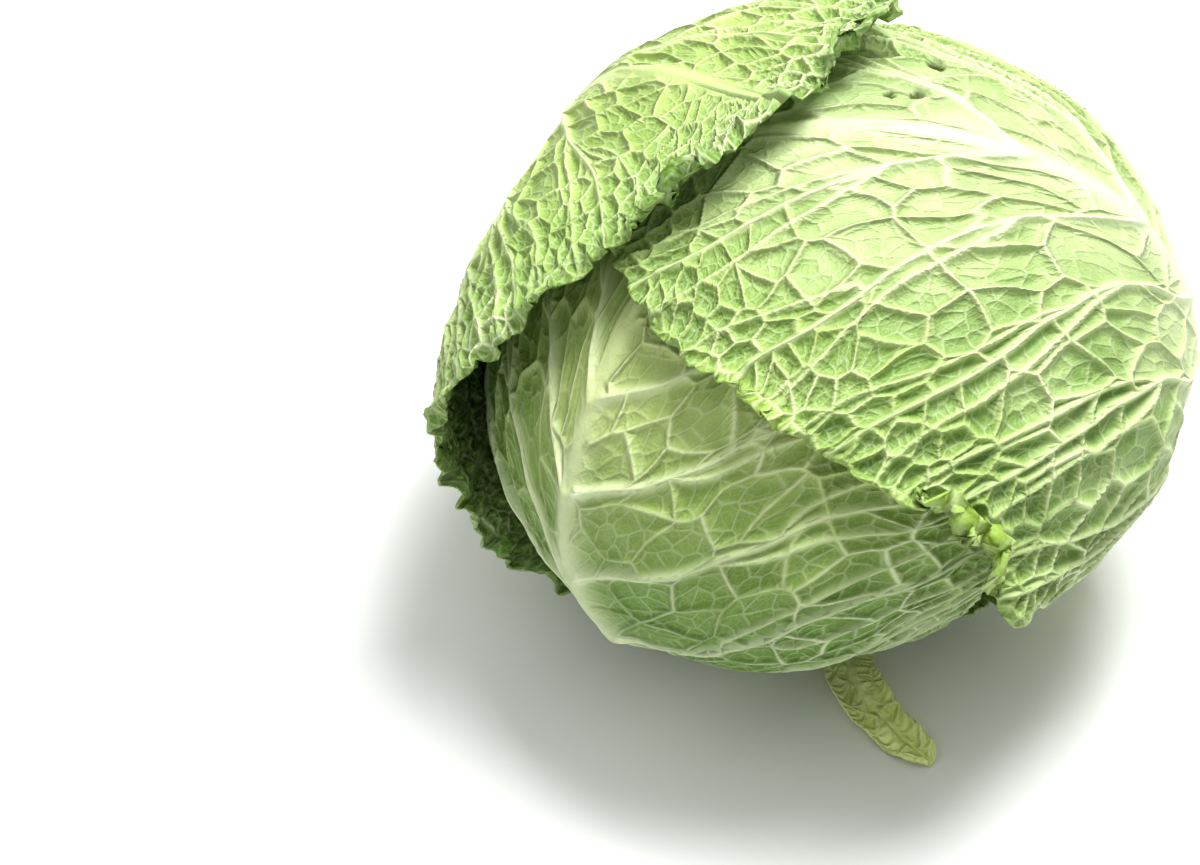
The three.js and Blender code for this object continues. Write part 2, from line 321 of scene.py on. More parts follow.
class Growth(Nodes):
    """A geometry node tree with named inputs that reshapes a mesh and gives it its material."""

    def __init__(self, name: str) -> None:
        """Makes a tree with a geometry input and output.

        Args:
            name: of the tree.
        """
        super().__init__(bpy.data.node_groups.new(name, "GeometryNodeTree"))
        self.identifiers: dict[str, str] = {}
        self.entry = self.tree.nodes.new("NodeGroupInput")
        self.mesh = self.input("Mesh", "NodeSocketGeometry")
        self.tree.interface.new_socket("Mesh", in_out="OUTPUT", socket_type="NodeSocketGeometry")

    def input(self, name: str, kind: str = "NodeSocketFloat") -> Value:
        """Adds a named input.

        Args:
            name: of the input.
            kind: its socket type.

        Returns:
            Its value inside the tree.
        """
        socket = self.tree.interface.new_socket(name, in_out="INPUT", socket_type=kind)
        self.identifiers[name] = socket.identifier
        return Value(self, self.entry.outputs[name])

    def stored(self, name: str, kind: str = "FLOAT") -> Value:
        """A number or vector painted on the mesh."""
        return self.node("GeometryNodeInputNamedAttribute", {"data_type": kind}, {"Name": name})

    def end(self, mesh: Value) -> None:
        """Realises the mesh, gives it the material input and leads it out.

        Args:
            mesh: what the tree has made.
        """
        material = self.input("Material", "NodeSocketMaterial")
        solid = self.node("GeometryNodeRealizeInstances", {}, [mesh])
        dressed = self.node("GeometryNodeSetMaterial", {}, {"Geometry": solid, "Material": material})
        self.feed(self.tree.nodes.new("NodeGroupOutput").inputs[0], dressed)

    def apply(self, piece: bpy.types.Object, values: dict[str, object]) -> None:
        """Replaces a piece's mesh with what the tree makes of it.

        Args:
            piece: the piece.
            values: what each named input is set to.
        """
        modifier = piece.modifiers.new(self.tree.name, "NODES")
        modifier.node_group = self.tree
        for name, value in values.items():
            modifier[self.identifiers[name]] = value
        graph = bpy.context.evaluated_depsgraph_get()
        made = bpy.data.meshes.new_from_object(
            piece.evaluated_get(graph), preserve_all_data_layers=True, depsgraph=graph)
        piece.modifiers.remove(modifier)
        plain, piece.data = piece.data, made
        made.name = piece.name
        bpy.data.meshes.remove(plain)


# ------------------------------------------------------------------------------------------ finishes
class LeafPattern:
    """Veins, net and mottling of a blade as shader values, read from what its mesh has stored.

    The distances are in millimetres: side and fork to the nearest side vein and fork, strand, thread and
    hair to nets of three sizes, and edge to the nearest vein that bounds a pit.
    """

    def __init__(self, shader: Shader) -> None:
        """Adds the values that the layers share.

        Args:
            shader: the material that they are for.
        """
        web = shader.vector("web")
        cell, gap = shader.attribute("cell"), shader.attribute("gap")
        rows = shader.split(shader.vector("rows"))
        self.lead, self.room, self.free, self.folded, self.midrib = (
            shader.attribute(name) for name in ("lead", "room", "free", "fold", "midrib"))
        self.patches = shader.noise(shader.place, 34.0, 4.0)
        self.flecks = shader.noise(shader.place, 420.0, 3.0, 0.6)
        self.grain = shader.noise(shader.place, 1700.0, 2.0, 0.5)
        self.wrinkles = shader.noise(shader.place, 260.0, 2.0)
        self.side = rows[0].to_whole() * gap
        self.fork = rows[1].to_whole().least(rows[2].to_whole()) * gap
        self.strand, self.thread, self.hair = (
            shader.cells(web, fineness) * cell for fineness in (1.0, SMALL_NET, FINE_NET))
        self.edge = self.strand.least(self.side).least(self.fork)
        self.clear = (1.0 - self.side.bell(1.6)) * self.free

    def veins(self, rib_width: float, net_strength: float) -> Value:
        """How strongly the colour of the veins shows.

        Args:
            rib_width: of the side veins, 1 for a plain leaf.
            net_strength: of the net between them.

        Returns:
            A share from 0 to 1.
        """
        rib = self.side.bell((0.6 + self.lead) * rib_width) * (0.2 + 0.95 * self.lead)
        fork = self.fork.bell((0.5 + 0.6 * self.lead) * rib_width) * (0.18 + 0.8 * self.lead)
        net = self.strand.bell(0.5) * (0.2 + self.patches.rise(0.38, 0.62) * 0.6)
        net = net.most(self.thread.bell(0.3) * 0.34).most(self.hair.bell(0.14) * 0.14)
        net = net * self.clear * (0.45 + self.room * 0.6)
        return (rib.most(fork).most(net * net_strength) * self.free + self.midrib * 0.9).clamp()

    def pits(self) -> Value:
        """How strongly painted shade darkens the pits."""
        depth = (1.0 - self.edge.bell(2.4)) * self.room
        return depth * (0.15 + self.flecks * 0.4 + (1.0 - self.patches.rise(0.4, 0.65)) * 0.5)

    def creases(self) -> Value:
        """Painted shade: the dark lines on both sides of each vein, where the blade creases into shadow."""
        line = (self.edge.bell(2.6) - self.edge.bell(1.1) * 1.35).clamp() * (self.room + 0.12)
        return line * (0.6 + (1.0 - self.patches.rise(0.4, 0.6)) * 0.6)

    def height(self) -> Value:
        """Relief that is too fine for the mesh.

        Returns:
            The height, about 1 on a side vein.
        """
        net = self.strand.bell(0.8) * 0.6 + self.thread.bell(0.5) * 0.35 + self.hair.bell(0.25) * 0.12
        rough = self.flecks * 0.5 + self.grain * 0.12 + (self.patches + self.wrinkles) * self.folded * 1.5
        return net * self.clear + self.edge.bell(0.9) * self.free + rough


@dataclass(frozen=True)
class LeafFinish:
    """Waxy crinkled leaf: green blade with painted shade in its pits, beside its veins and near the ground,
    pale veins and a darker curled margin.
    """

    name: str
    blade: Colour = srgb(156, 185, 92)
    pale: Colour = srgb(212, 227, 170)
    # the colour of the painted shade in the pits, in the creases and on the low parts
    deep: Colour = srgb(84, 126, 34)
    vein: Colour = srgb(232, 242, 198)
    margin: Colour = srgb(132, 166, 56)
    fold: Colour = srgb(150, 186, 44)
    # dark of a bitten spot: partly the bite's own scar and partly painted shade where the bite holes the
    # blade
    scar: Colour = srgb(74, 84, 26)
    net_strength: float = 0.8
    rib_width: float = 1.1
    # strength of the painted shade beside the veins
    crease_shade: float = 0.95
    roughness: float = 0.42

    def material(self) -> bpy.types.Material:
        """Builds the material, each layer of colour over the one before it.

        Returns:
            The new material.
        """
        shader = Shader(self.name)
        pattern = LeafPattern(shader)
        patches, flecks = pattern.patches, pattern.flecks
        pale, margin, low, scar = (shader.attribute(name) for name in ("pale", "margin", "low", "scar"))
        # pale: partly the blade's own pale tissue by the midrib and partly painted light
        shade = shader.mix((pale + (patches - 0.5) * 0.9).clamp(), self.blade, self.pale)
        for share, colour in (
            (margin * (0.5 + patches * 0.6), self.margin),
            # painted shade: darker near the ground, in the pits and in the creases beside the veins
            (low * (0.5 + patches), self.deep),
            (pattern.pits(), self.deep),
            (pattern.creases() * self.crease_shade, self.deep),
            (pattern.folded * (0.4 + flecks * 0.6), self.fold),
            (pattern.veins(self.rib_width, self.net_strength) * (0.75 + flecks * 0.3), self.vein),
            # bitten spots: their own scar colour and painted shade of their holes
            (scar, self.scar),
        ):
            shade = shader.mix(share.clamp(), shade, colour)
        return shader.finish(
            Base_Color=shade, Roughness=self.roughness + flecks * 0.14,
            Normal=shader.bump(pattern.height(), 0.8, 0.9), Subsurface_Weight=0.06, Subsurface_Scale=0.001,
            Subsurface_Radius=(0.6, 1.0, 0.25), Specular_IOR_Level=0.3)


@dataclass(frozen=True)
class StalkFinish:
    """Pale firm stem, browner and ringed with fibre bundles on its cut face."""

    name: str = "stalk_skin"
    skin: Colour = srgb(214, 222, 160)
    scar: Colour = srgb(176, 188, 112)
    pith: Colour = srgb(236, 236, 200)
    fibre: Colour = srgb(190, 176, 116)

    def material(self) -> bpy.types.Material:
        """Builds the material from the painted fibre mask and noise.

        Returns:
            The new material.
        """
        shader = Shader(self.name)
        patches = shader.noise(shader.place, 90.0, 4.0)
        grain = shader.noise(shader.place, 900.0, 3.0)
        skin = shader.mix(patches.rise(0.35, 0.7), self.skin, self.scar)
        cut = shader.mix(shader.attribute("fibre") * (0.4 + grain * 0.8), self.pith, self.fibre)
        shade = shader.mix(shader.attribute("cut"), skin, cut)
        bump = shader.bump(patches + grain * 0.4, 0.4, 0.6)
        return shader.finish(
            Base_Color=shade, Roughness=0.5 + grain * 0.2, Normal=bump, Subsurface_Weight=0.15,
            Subsurface_Scale=0.003, Subsurface_Radius=(0.8, 1.0, 0.4))


class Finish(Enum):
    """The finishes of the head."""

    # Each finish's deep green is the colour of its painted shade.
    OUTER = LeafFinish("leaf_outer")
    REAR = LeafFinish(
        "leaf_outermost", blade=srgb(144, 178, 76), deep=srgb(82, 122, 30), pale=srgb(190, 212, 122),
        margin=srgb(112, 150, 40), fold=srgb(92, 134, 24), net_strength=1.0)
    SMOOTH = LeafFinish(
        "leaf_smooth", blade=srgb(172, 200, 100), deep=srgb(94, 132, 38), pale=srgb(214, 228, 148),
        roughness=0.4, crease_shade=0.6, rib_width=1.6)
    # The stub's colours are its own yellow-green made brighter: painted light, for the light that the
    # head's shade takes from it.
    STUB = LeafFinish(
        "leaf_folded", blade=srgb(232, 244, 138), deep=srgb(172, 204, 76), pale=srgb(240, 248, 186),
        margin=srgb(232, 244, 134), fold=srgb(240, 248, 170), crease_shade=0.3)
    HEART = LeafFinish(
        "leaf_heart", blade=srgb(206, 220, 130), pale=srgb(228, 234, 170), deep=srgb(178, 200, 96))
    STALK = StalkFinish()

    @cached_property
    def material(self) -> bpy.types.Material:
        """The finish's material, built once."""
        return self.value.material()


# ------------------------------------------------------------------------------------------ meshes
def make_object(name: str, points: Array, polygons: list, material: bpy.types.Material) -> bpy.types.Object:
    """Makes a smooth mesh object at the origin.

    Args:
        name: of the piece.
        points: places in millimetres, one row each.
        polygons: vertex indices of each face.
        material: its only material.

    Returns:
        The new object.
    """
    mesh = bpy.data.meshes.new(name)
    mesh.from_pydata((points * MM).tolist(), [], polygons)
    mesh.materials.append(material)
    mesh.polygons.foreach_set("use_smooth", [True] * len(mesh.polygons))
    mesh.update()
    made = bpy.data.objects.new(name, mesh)
    bpy.context.scene.collection.objects.link(made)
    return made


def paint(piece: bpy.types.Object, masks: dict[str, Array]) -> None:
    """Stores numbers or vectors on the vertices of a piece.

    Args:
        piece: the piece.
        masks: one number or vector per vertex, by name.
    """
    for name, values in masks.items():
        kind, key = ("FLOAT", "value") if values.ndim == 1 else ("FLOAT_VECTOR", "vector")
        layer = piece.data.attributes.new(name, kind, "POINT")
        layer.data.foreach_set(key, np.asarray(values, np.float32).ravel())


def ring_faces(rings: int, segments: int) -> list:
    """Faces of stacked rings of points that a pole closes at each end, facing out.

    Args:
        rings: how many there are. Their points stand between those of the first and the last pole.
        segments: points in each ring.

    Returns:
        Vertex indices of each face.
    """
    ids = 1 + np.arange(rings * segments).reshape(rings, segments)
    ids = np.concatenate([ids, ids[:, :1]], 1)
    last = np.full(segments, rings * segments + 1)
    quads = np.stack([ids[:-1, :-1], ids[:-1, 1:], ids[1:, 1:], ids[1:, :-1]], -1).reshape(-1, 4)
    near = np.stack([0 * last, ids[0, 1:], ids[0, :-1]], -1)
    far = np.stack([last, ids[-1, :-1], ids[-1, 1:]], -1)
    return quads.tolist() + near.tolist() + far.tolist()


@dataclass(frozen=True)
class Sheet:
    """A thin closed solid over a grid of points, with an inner face twice as coarse as the outer one.

    Columns run over both halves of the blade. When welded, the two halves of the last row are one line.
    """

    rows: int
    columns: int
    welded: bool = True

    def grid(self) -> tuple[Array, Array]:
        """Row q from 0 to 1 and column t from -1 to 1 of every grid point."""
        q, t = np.linspace(0.0, 1.0, self.rows + 1), np.linspace(-1.0, 1.0, 2 * self.columns + 1)
        return np.meshgrid(q, t, indexing="ij")

    def ids(self, step: int) -> Array:
        """Vertex numbers of the grid, or of every second row and column with a step of 2.

        Args:
            step: 1 for the fine outer grid, 2 for the inner one.

        Returns:
            Numbers by row and column.
        """
        rows, half = self.rows // step, self.columns // step
        numbers = np.arange((rows + 1) * (2 * half + 1)).reshape(rows + 1, -1)
        if self.welded:
            numbers[rows, :half] = numbers[rows, :half:-1]
        return numbers

    @staticmethod
    def quads(ids: Array) -> Array:
        """Faces of a grid of vertex numbers, facing out."""
        return np.stack([ids[:-1, :-1], ids[1:, :-1], ids[1:, 1:], ids[:-1, 1:]], -1).reshape(-1, 4)

    def rim(self, ids: Array) -> Array:
        """Vertex numbers once round the open edge of a grid."""
        far = [] if self.welded else [ids[-1, :-1]]
        return np.concatenate([ids[0, :0:-1], ids[:-1, 0], *far, ids[:0:-1, -1]])

    def build(
        self, name: str, outer: Array, inner: Array, masks: dict[str, Array], material: bpy.types.Material
    ) -> bpy.types.Object:
        """Makes the closed mesh.

        Args:
            name: of the piece.
            outer: outer points by row and column.
            inner: inner points by every second row and column.
            masks: what to paint, by row and column of the outer grid.
            material: its material.

        Returns:
            The new object.
        """
        fine, coarse = self.ids(1), self.ids(2) + outer.shape[0] * outer.shape[1]
        around, here = self.rim(fine), self.rim(coarse)
        first, middle, last = around[0::2], around[1::2], np.roll(around, -2)[0::2]
        there = np.roll(here, -1)
        wall = (middle, first, here), (last, middle, there), (middle, here, there)
        triangles = np.concatenate([np.stack(corners, -1) for corners in wall])
        quads = np.concatenate([self.quads(fine), self.quads(coarse)[:, ::-1]])
        points = np.concatenate([outer.reshape(-1, 3), inner.reshape(-1, 3)])
        used, flat = np.unique(np.concatenate([quads.ravel(), triangles.ravel()]), return_inverse=True)
        faces = flat[: quads.size].reshape(-1, 4).tolist() + flat[quads.size :].reshape(-1, 3).tolist()
        piece = make_object(name, points[used], faces, material)
        for key, mask in masks.items():
            tail = mask.shape[2:]
            both = np.concatenate([mask.reshape(-1, *tail), mask[::2, ::2].reshape(-1, *tail)])
            paint(piece, {key: both[used]})
        return piece

    def normals(self, points: Array) -> Array:
        """Smooth outward normals of a grid of points.

        Args:
            points: places by row and column.

        Returns:
            Unit vectors by row and column.
        """
        ids = self.ids(1)
        quads = self.quads(ids)
        flat = points.reshape(-1, 3)
        a, b, c, d = (flat[quads[:, k]] for k in range(4))
        facing = np.cross(c - a, d - b)
        total = np.zeros_like(flat)
        for k in range(4):
            np.add.at(total, quads[:, k], facing)
        return unit(total)[ids]


# ------------------------------------------------------------------------------------------ the head's form
def direction(azimuth: float, latitude: float) -> Array:
    """Unit direction in the head's frame."""
    a, b = math.radians(azimuth), math.radians(latitude)
    return np.array([math.cos(b) * math.cos(a), math.cos(b) * math.sin(a), math.sin(b)])


def angle_between(d: Array, axis: Array) -> Array:
    """Degrees from unit directions d to an axis."""
    return np.degrees(np.arccos(np.clip(d @ axis, -1.0, 1.0)))


def angles_over_leaf(d: Array, azimuth: float) -> tuple[Array, Array]:
    """Leaf angles of directions.

    Args:
        d: unit directions in the head's frame.
        azimuth: where the leaf's midrib rises.

    Returns:
        Angle along the midrib, from straight down, and width across it.
    """
    out = direction(azimuth, 0.0)
    width = np.degrees(np.arcsin(np.clip(d @ np.cross(out, UP), -1, 1)))
    return np.degrees(np.arctan2(d @ out, -d[..., 2])) % 360.0, width


def squarish(a: Array, b: Array, power: float) -> Array:
    """Size of the rounded square through the point a, b: 2 gives a circle, and more is squarer."""
    return (a**power + b**power) ** (1.0 / power)


@dataclass(frozen=True)
class Spot:
    """A place on the head."""

    azimuth: float
    latitude: float

    def away(self, d: Array) -> Array:
        """Degrees from unit directions d to the spot."""
        return angle_between(d, direction(self.azimuth, self.latitude))


@dataclass(frozen=True)
class Hollow(Spot):
    """A round dent of the head."""

    depth: float
    spread: float


@dataclass(frozen=True)
class Lift(Spot):
    """A lifted part of a leaf, full within its inner angle and gone beyond its outer one."""

    height: float
    inner: float
    outer: float

    def rise(self, d: Array) -> Array:
        """Height of the lift at unit directions d."""
        return self.height * (1.0 - smoothstep(self.away(d), self.inner, self.outer))


@dataclass(frozen=True)
class Head:
    """The closed head: an oblate form that leans on its stalk, with hollows and slow undulations."""

    foot: tuple[float, float] = (19.01, -5.5)
    radius: float = 98.0
    half_height: float = 78.5
    centre_height: float = 78.5
    lean_rad: float = math.radians(11.0)
    hollows: tuple[Hollow, ...] = (
        Hollow(0, -90, 5, 17), Hollow(288, -31, 7, 24), Hollow(15, 8, 3.5, 32), Hollow(158, 32, 4, 24))
    undulation: float = 0.9
    undulation_length: float = 42.0

    @property
    def centre(self) -> Array:
        """Centre of the head, straight up the leaning axis from the foot."""
        back = self.centre_height * math.tan(self.lean_rad)
        return np.array([self.foot[0] - back, self.foot[1], self.centre_height])

    def to_world(self, points: Array) -> Array:
        """Leans points of the head's frame over.

        Args:
            points: places in the head's frame.

        Returns:
            Places in the row frame.
        """
        c, s = math.cos(self.lean_rad), math.sin(self.lean_rad)
        x, y, z = points[..., 0], points[..., 1], points[..., 2]
        return np.stack([x * c - z * s, y, x * s + z * c], -1) + self.centre

    def point(self, d: Array, height: Array | float) -> Array:
        """Place over the closed head.

        Args:
            d: unit directions in the head's frame.
            height: over the closed head, along its normal.

        Returns:
            Places in the row frame.
        """
        axes = np.array([self.radius, self.radius, self.half_height])
        for hollow in self.hollows:
            height = height - hollow.depth * bell(hollow.away(d), hollow.spread)
        height = height + self.undulation * NoiseField(5).layered(d * 100.0, self.undulation_length)
        return self.to_world(d * axes + unit(d / axes) * np.asarray(height)[..., None])


# ------------------------------------------------------------------------------------------ leaves
class Side(IntEnum):
    """The halves of a leaf, each with the sign of its columns."""

    LEFT = -1
    RIGHT = 1

    def holds(self, t: Array) -> Array:
        """Whether columns t are on this half."""
        return np.sign(t) == self.value


class Draw(IntEnum):
    """What a leaf draws at random, each with its own step from the leaf's seed."""

    STRENGTHS = 3
    SIDE_VEINS = 9
    NET = 21
    CRUMPLES = 33
    WRINKLES = 44
    RUFFLES = 50
    CURLS = 60
    TEETH = 70


@dataclass(frozen=True)
class Stretch:
    """A stretch of one half's margin, from and to a share of the way round it."""

    side: Side
    start: float
    end: float

    def share(self, q: Array, t: Array) -> Array:
        """How far rows q and columns t of a leaf are within the stretch, from 0 to 1."""
        middle, reach = (self.start + self.end) / 2, (self.end - self.start) / 2
        return np.clip(1.0 - ((q - middle) / reach) ** 2, 0.0, 1.0) * self.side.holds(t)


@dataclass(frozen=True)
class Lobe(Stretch):
    """A stretch of margin that stands out."""

    height: float


@dataclass(frozen=True)
class Curl(Stretch):
    """A stretch of margin that rolls outward by a turn, over a band of the blade."""

    turn: float
    band: float = 8.0
    crumple: float = 0.2

    FADE = 1.7

    def share(self, q: Array, t: Array) -> Array:
        """How fully rows q and columns t roll, from 0 to 1."""
        return super().share(q, t) ** self.FADE


@dataclass(frozen=True)
class Narrowing:
    """A half whose margin is drawn in by a share of its width, up to an end on the way round it."""

    side: Side
    end: float
    amount: float

    def share(self, q: Array, t: Array) -> Array:
        """How fully rows q and columns t are drawn in, from 0 to 1."""
        along = smoothstep(q, 0.02, 0.1) * (1.0 - smoothstep(q, self.end - 0.15, self.end))
        return along * self.side.holds(t)


@dataclass(frozen=True)
class Scar:
    """A bitten spot, by its leaf angles and its size in millimetres."""

    along: float
    across: float
    size: float


@dataclass(frozen=True)
class Net:
    """Sizes of a leaf's side veins, net and pits."""

    laterals: int = 8
    cell: float = 13.0
    stretch: float = 1.35
    depth: float = 1.9
    lateral_height: float = 1.5
    strand_width: float = 0.8
    fold: float = 1.1
    crumple: float = 0.5
    warp: float = 0.2
    fringe: float = 0.33
    seed: int = 1


@dataclass(frozen=True)
class Veins:
    """Side veins and forks of a blade, by row and column.

    rows holds three counts, whole on every side vein, upper fork and lower fork. gap is the distance from
    one side vein to the next, and lead the strength of the nearest one.
    """

    rows: Array
    gap: Array
    lead: Array

    @property
    def away(self) -> Array:
        """Distances to the nearest side vein, upper fork and lower fork."""
        return np.abs(self.rows - np.round(self.rows)) * self.gap[..., None]

    def masks(self) -> dict[str, Array]:
        """What the crinkle and the finish read."""
        return {"rows": self.rows, "gap": self.gap, "lead": self.lead, "beside": self.away.min(axis=-1)}


@dataclass(frozen=True)
class Blade:
    """The smooth blade of a leaf, by row and column.

    q counts the rows from 0 at the stalk to 1 at the tip, and t the columns from -1 to 1. d is the
    direction in the head's frame, points the place, margin the distance to the margin and width the angle
    to the midrib. fold is 1 where the margin rolls over, and scar where the blade is bitten.
    """

    q: Array
    t: Array
    d: Array
    points: Array
    margin: Array
    width: Array
    fold: Array
    scar: Array

    @property
    def beside_rib(self) -> Array:
        """Distance to the midrib."""
        return self.width * MM_PER_DEGREE

    @property
    def midrib(self) -> Array:
        """How fully the blade is midrib, which narrows towards the tip, from 0 to 1."""
        return bell(self.width, 4.8 - 2.8 * self.q)

    @property
    def clear(self) -> Array:
        """How far the blade is clear of the midrib, from 0 to 1."""
        return smoothstep(self.beside_rib / (1.0 - 0.65 * self.q), 2.0, 16.0)


class Crinkle:
    """The tree that raises the net of veins on a blade and sinks a pit in each of its meshes.

    It reads what the blade has stored: web, a place counted in cells of the net; out, the way outward;
    cell, the width of a cell; beside, the distance to the nearest side vein or fork; and room, how freely
    the blade may sink.
    """

    def __init__(self) -> None:
        """Builds the tree."""
        tree = Growth("crinkle")
        depth, fold, strand = (tree.input(name) for name in ("Pit Depth", "Fold Height", "Strand Width"))
        web, out = (tree.stored(name, "FLOAT_VECTOR") for name in ("web", "out"))
        cell, beside, room = (tree.stored(name) for name in ("cell", "beside", "room"))
        edge = (tree.cells(web, 1.0) * cell).least(beside)
        small = tree.cells(web, SMALL_NET) * cell
        whole = {"feature": "F1", "voronoi_dimensions": "2D"}
        luck = tree.node("ShaderNodeTexVoronoi", whole, {"Vector": web, "Scale": 1.0}, "Color")
        folds = tree.noise(tree.stretched(web, (0.8, 1.8, 1.0)), 1.2, 1.0) - 0.5
        puff = edge.rise(1.5, 8.0) * 0.35
        pit = (1.0 - edge.bell(strand * 1.9)) * (0.6 + 0.8 * luck)
        dimple = (1.0 - small.bell(1.1)) * 0.35 + small.bell(0.6) * -0.25
        height = edge.bell(strand) * 0.4 - pit * depth * (1.0 - puff) - dimple * pit
        height = (height + folds * fold * pit) * room
        lift = {"Vector": out, "Scale": height * MM}
        offset = tree.node("ShaderNodeVectorMath", {"operation": "SCALE"}, lift)
        tree.end(tree.node("GeometryNodeSetPosition", {}, {"Geometry": tree.mesh, "Offset": offset}))
        self.tree = tree

    def apply(self, piece: bpy.types.Object, net: Net, material: bpy.types.Material) -> None:
        """Crinkles a piece.

        Args:
            piece: the blade, with what the tree reads stored on it.
            net: sizes of its net.
            material: its finish.
        """
        self.tree.apply(piece, {
            "Pit Depth": net.depth, "Fold Height": net.fold, "Strand Width": net.strand_width,
            "Material": material})
        for name in ("out", "beside"):
            piece.data.attributes.remove(piece.data.attributes[name])


@dataclass(frozen=True)
class Leaf:
    """A wrapper leaf: a rounded blade over the head, with midrib, side veins, net, pits and ruffles.

    Its midrib rises at azimuth, starts at base and ends at tip, which are angles from straight down. widths
    are the angles across its two halves, and offset the heights of its layer low and high on the head. rib
    is the height of the midrib, flare how far the halves' margins stand out, and frill how far they wave.
    calm says how smooth the blade is near its midrib, and shaded how strongly painted shade darkens it near
    the ground.
    """

    name: str
    slot: str
    finish: Finish
    azimuth: float
    offset: tuple[float, float]
    tip: float
    widths: tuple[float, float]
    sheet: Sheet
    net: Net
    base: float = 14.0
    rib: float = 5.5
    flare: tuple[float, float] = (0.0, 0.0)
    frill: float = 0.8
    lift: Lift | None = None
    lobe: Lobe | None = None
    narrowing: Narrowing | None = None
    thickness: float = 1.3
    calm: float = 1.0
    # painted shade: how far the blade is darkened near the ground, where less light falls
    shaded: float = 0.35
    curls: tuple[Curl, ...] = ()
    scars: tuple[Scar, ...] = ()

    SQUARENESS = 2.6
    RIB_REACH = 0.78
    RIB_SWEEP = 1.3
    RIB_BEND = 0.2
    TOOTH_DEPTH = 0.028
    LAYER_CHANGE = (70.0, 115.0)  # angles from straight down between which it passes from layer to layer
    SINK = 0.8  # of the blade between its veins
    STRIP_STEP = (17.37, 5.13)  # cells from one strip's net to the next, so that no two are alike
    HALF_STEP = 40.0  # strips from the right half's nets to the left half's

    def noise(self, draw: Draw) -> NoiseField:
        """The leaf's own noise for one purpose."""
        return NoiseField(self.net.seed + draw.value)

    def margin_angles(self, q: Array, side: Array) -> tuple[Array, Array]:
        """Leaf angles of the margin.

        Args:
            q: way round the margin, 0 at the stalk and 1 at the tip.
            side: below 0 on the left half and above 0 on the right one.

        Returns:
            Angle along the midrib and width across it.
        """
        turn = math.pi * (0.05 + 0.95 * q)
        power = 2.0 / self.SQUARENESS
        middle, reach = (self.base + self.tip) / 2, (self.tip - self.base) / 2
        phi = middle - np.sign(np.cos(turn)) * reach * np.abs(np.cos(turn)) ** power
        return phi, np.where(side < 0, *self.widths) * np.abs(np.sin(turn)) ** power

    def leaf_angles(self, q: Array, t: Array) -> tuple[Array, Array]:
        """Leaf angles of grid points.

        Args:
            q: rows, 0 at the stalk and 1 at the seam beyond the midrib.
            t: columns, -1 to +1 across the blade.

        Returns:
            Angle along the midrib and width across it.
        """
        phi_edge, width = self.margin_angles(q, t)
        phi_rib = self.base + self.RIB_REACH * (self.tip - self.base) * q**self.RIB_SWEEP
        across = np.abs(t)
        bend = (1.0 - self.RIB_BEND) * across + self.RIB_BEND * across**2
        return phi_rib + (phi_edge - phi_rib) * bend, np.sign(t) * width * across

    def directions(self, q: Array, t: Array) -> Array:
        """Directions of grid points.

        Args:
            q: rows.
            t: columns.

        Returns:
            Unit directions in the head's frame.
        """
        phi, width = (np.radians(a)[..., None] for a in self.leaf_angles(q, t))
        out = direction(self.azimuth, 0.0)
        along = DOWN * np.cos(phi) + out * np.sin(phi)
        return along * np.cos(width) + np.cross(out, UP) * np.sin(width)

    def margin_distance(self, q: Array, t: Array) -> Array:
        """Distance from grid points to the margin.

        Args:
            q: rows.
            t: columns.

        Returns:
            Millimetres.
        """
        phi, width = self.leaf_angles(q, t)
        n = self.SQUARENESS
        reach = (self.tip - self.base) / 2
        widest = np.where(t < 0, *self.widths)
        a = np.abs(phi - (self.base + self.tip) / 2) / reach
        b = np.abs(width) / widest
        rho = np.maximum(squarish(a, b, n), 1e-3)
        slope = np.hypot(a ** (n - 1) / reach, b ** (n - 1) / widest) * rho ** (1.0 - n)
        return np.clip(1.0 - rho, 0.0, 1.0) / np.maximum(slope, 1e-3) * MM_PER_DEGREE

    def looseness(self, q: Array, t: Array) -> Array:
        """How freely rows q and columns t may move, which is 0 at the stalk and where they are drawn in."""
        drawn = self.narrowing.share(q, t) if self.narrowing else 0.0
        return smoothstep(q, 0.04, 0.2) * (1.0 - drawn)

    def stand_off(self, d: Array, q: Array, t: Array) -> Array:
        """Height of the smooth blade, from its layer, flare, lift and lobe.

        Args:
            d: unit directions in the head's frame.
            q: rows.
            t: columns.

        Returns:
            Height over the closed head.
        """
        edge = smoothstep(np.abs(t), 0.55, 1.0) ** 1.5
        low, high = self.offset
        height = low + (high - low) * smoothstep(angle_between(d, DOWN), *self.LAYER_CHANGE)
        height = height + np.where(t < 0, *self.flare) * self.looseness(q, t) ** 2 * edge
        if self.lift:
            height = height + self.lift.rise(d)
        if self.lobe:
            height = height + self.lobe.height * self.lobe.share(q, t) * edge
        return height

    def scalloped(self, points: Array, q: Array, t: Array) -> Array:
        """Columns with the margin drawn in between its rounded teeth.

        Args:
            points: rough places of the grid.
            q: rows.
            t: columns.

        Returns:
            The moved columns.
        """
        noise = self.noise(Draw.TEETH)
        teeth = np.sqrt(np.abs(noise(points, 10.0))) + 0.4 * np.sqrt(np.abs(noise(points + 50.0, 5.0)))
        drawn = 1.0 + self.TOOTH_DEPTH * self.looseness(q, t) * np.abs(t) ** 6 * (teeth - 1.1)
        if self.narrowing:
            drawn = drawn - self.narrowing.amount * self.narrowing.share(q, t) * np.abs(t)
        return t * drawn

    def scarred(self, d: Array) -> Array:
        """How strongly the blade is bitten.

        Args:
            d: unit directions in the head's frame.

        Returns:
            A share from 0 to 1.
        """
        phi, width = angles_over_leaf(d, self.azimuth)
        total = np.zeros(phi.shape)
        for scar in self.scars:
            away = np.hypot(phi - scar.along, width - scar.across) * MM_PER_DEGREE
            total = np.maximum(total, 1.0 - smoothstep(away, 0.6 * scar.size, scar.size))
        return total

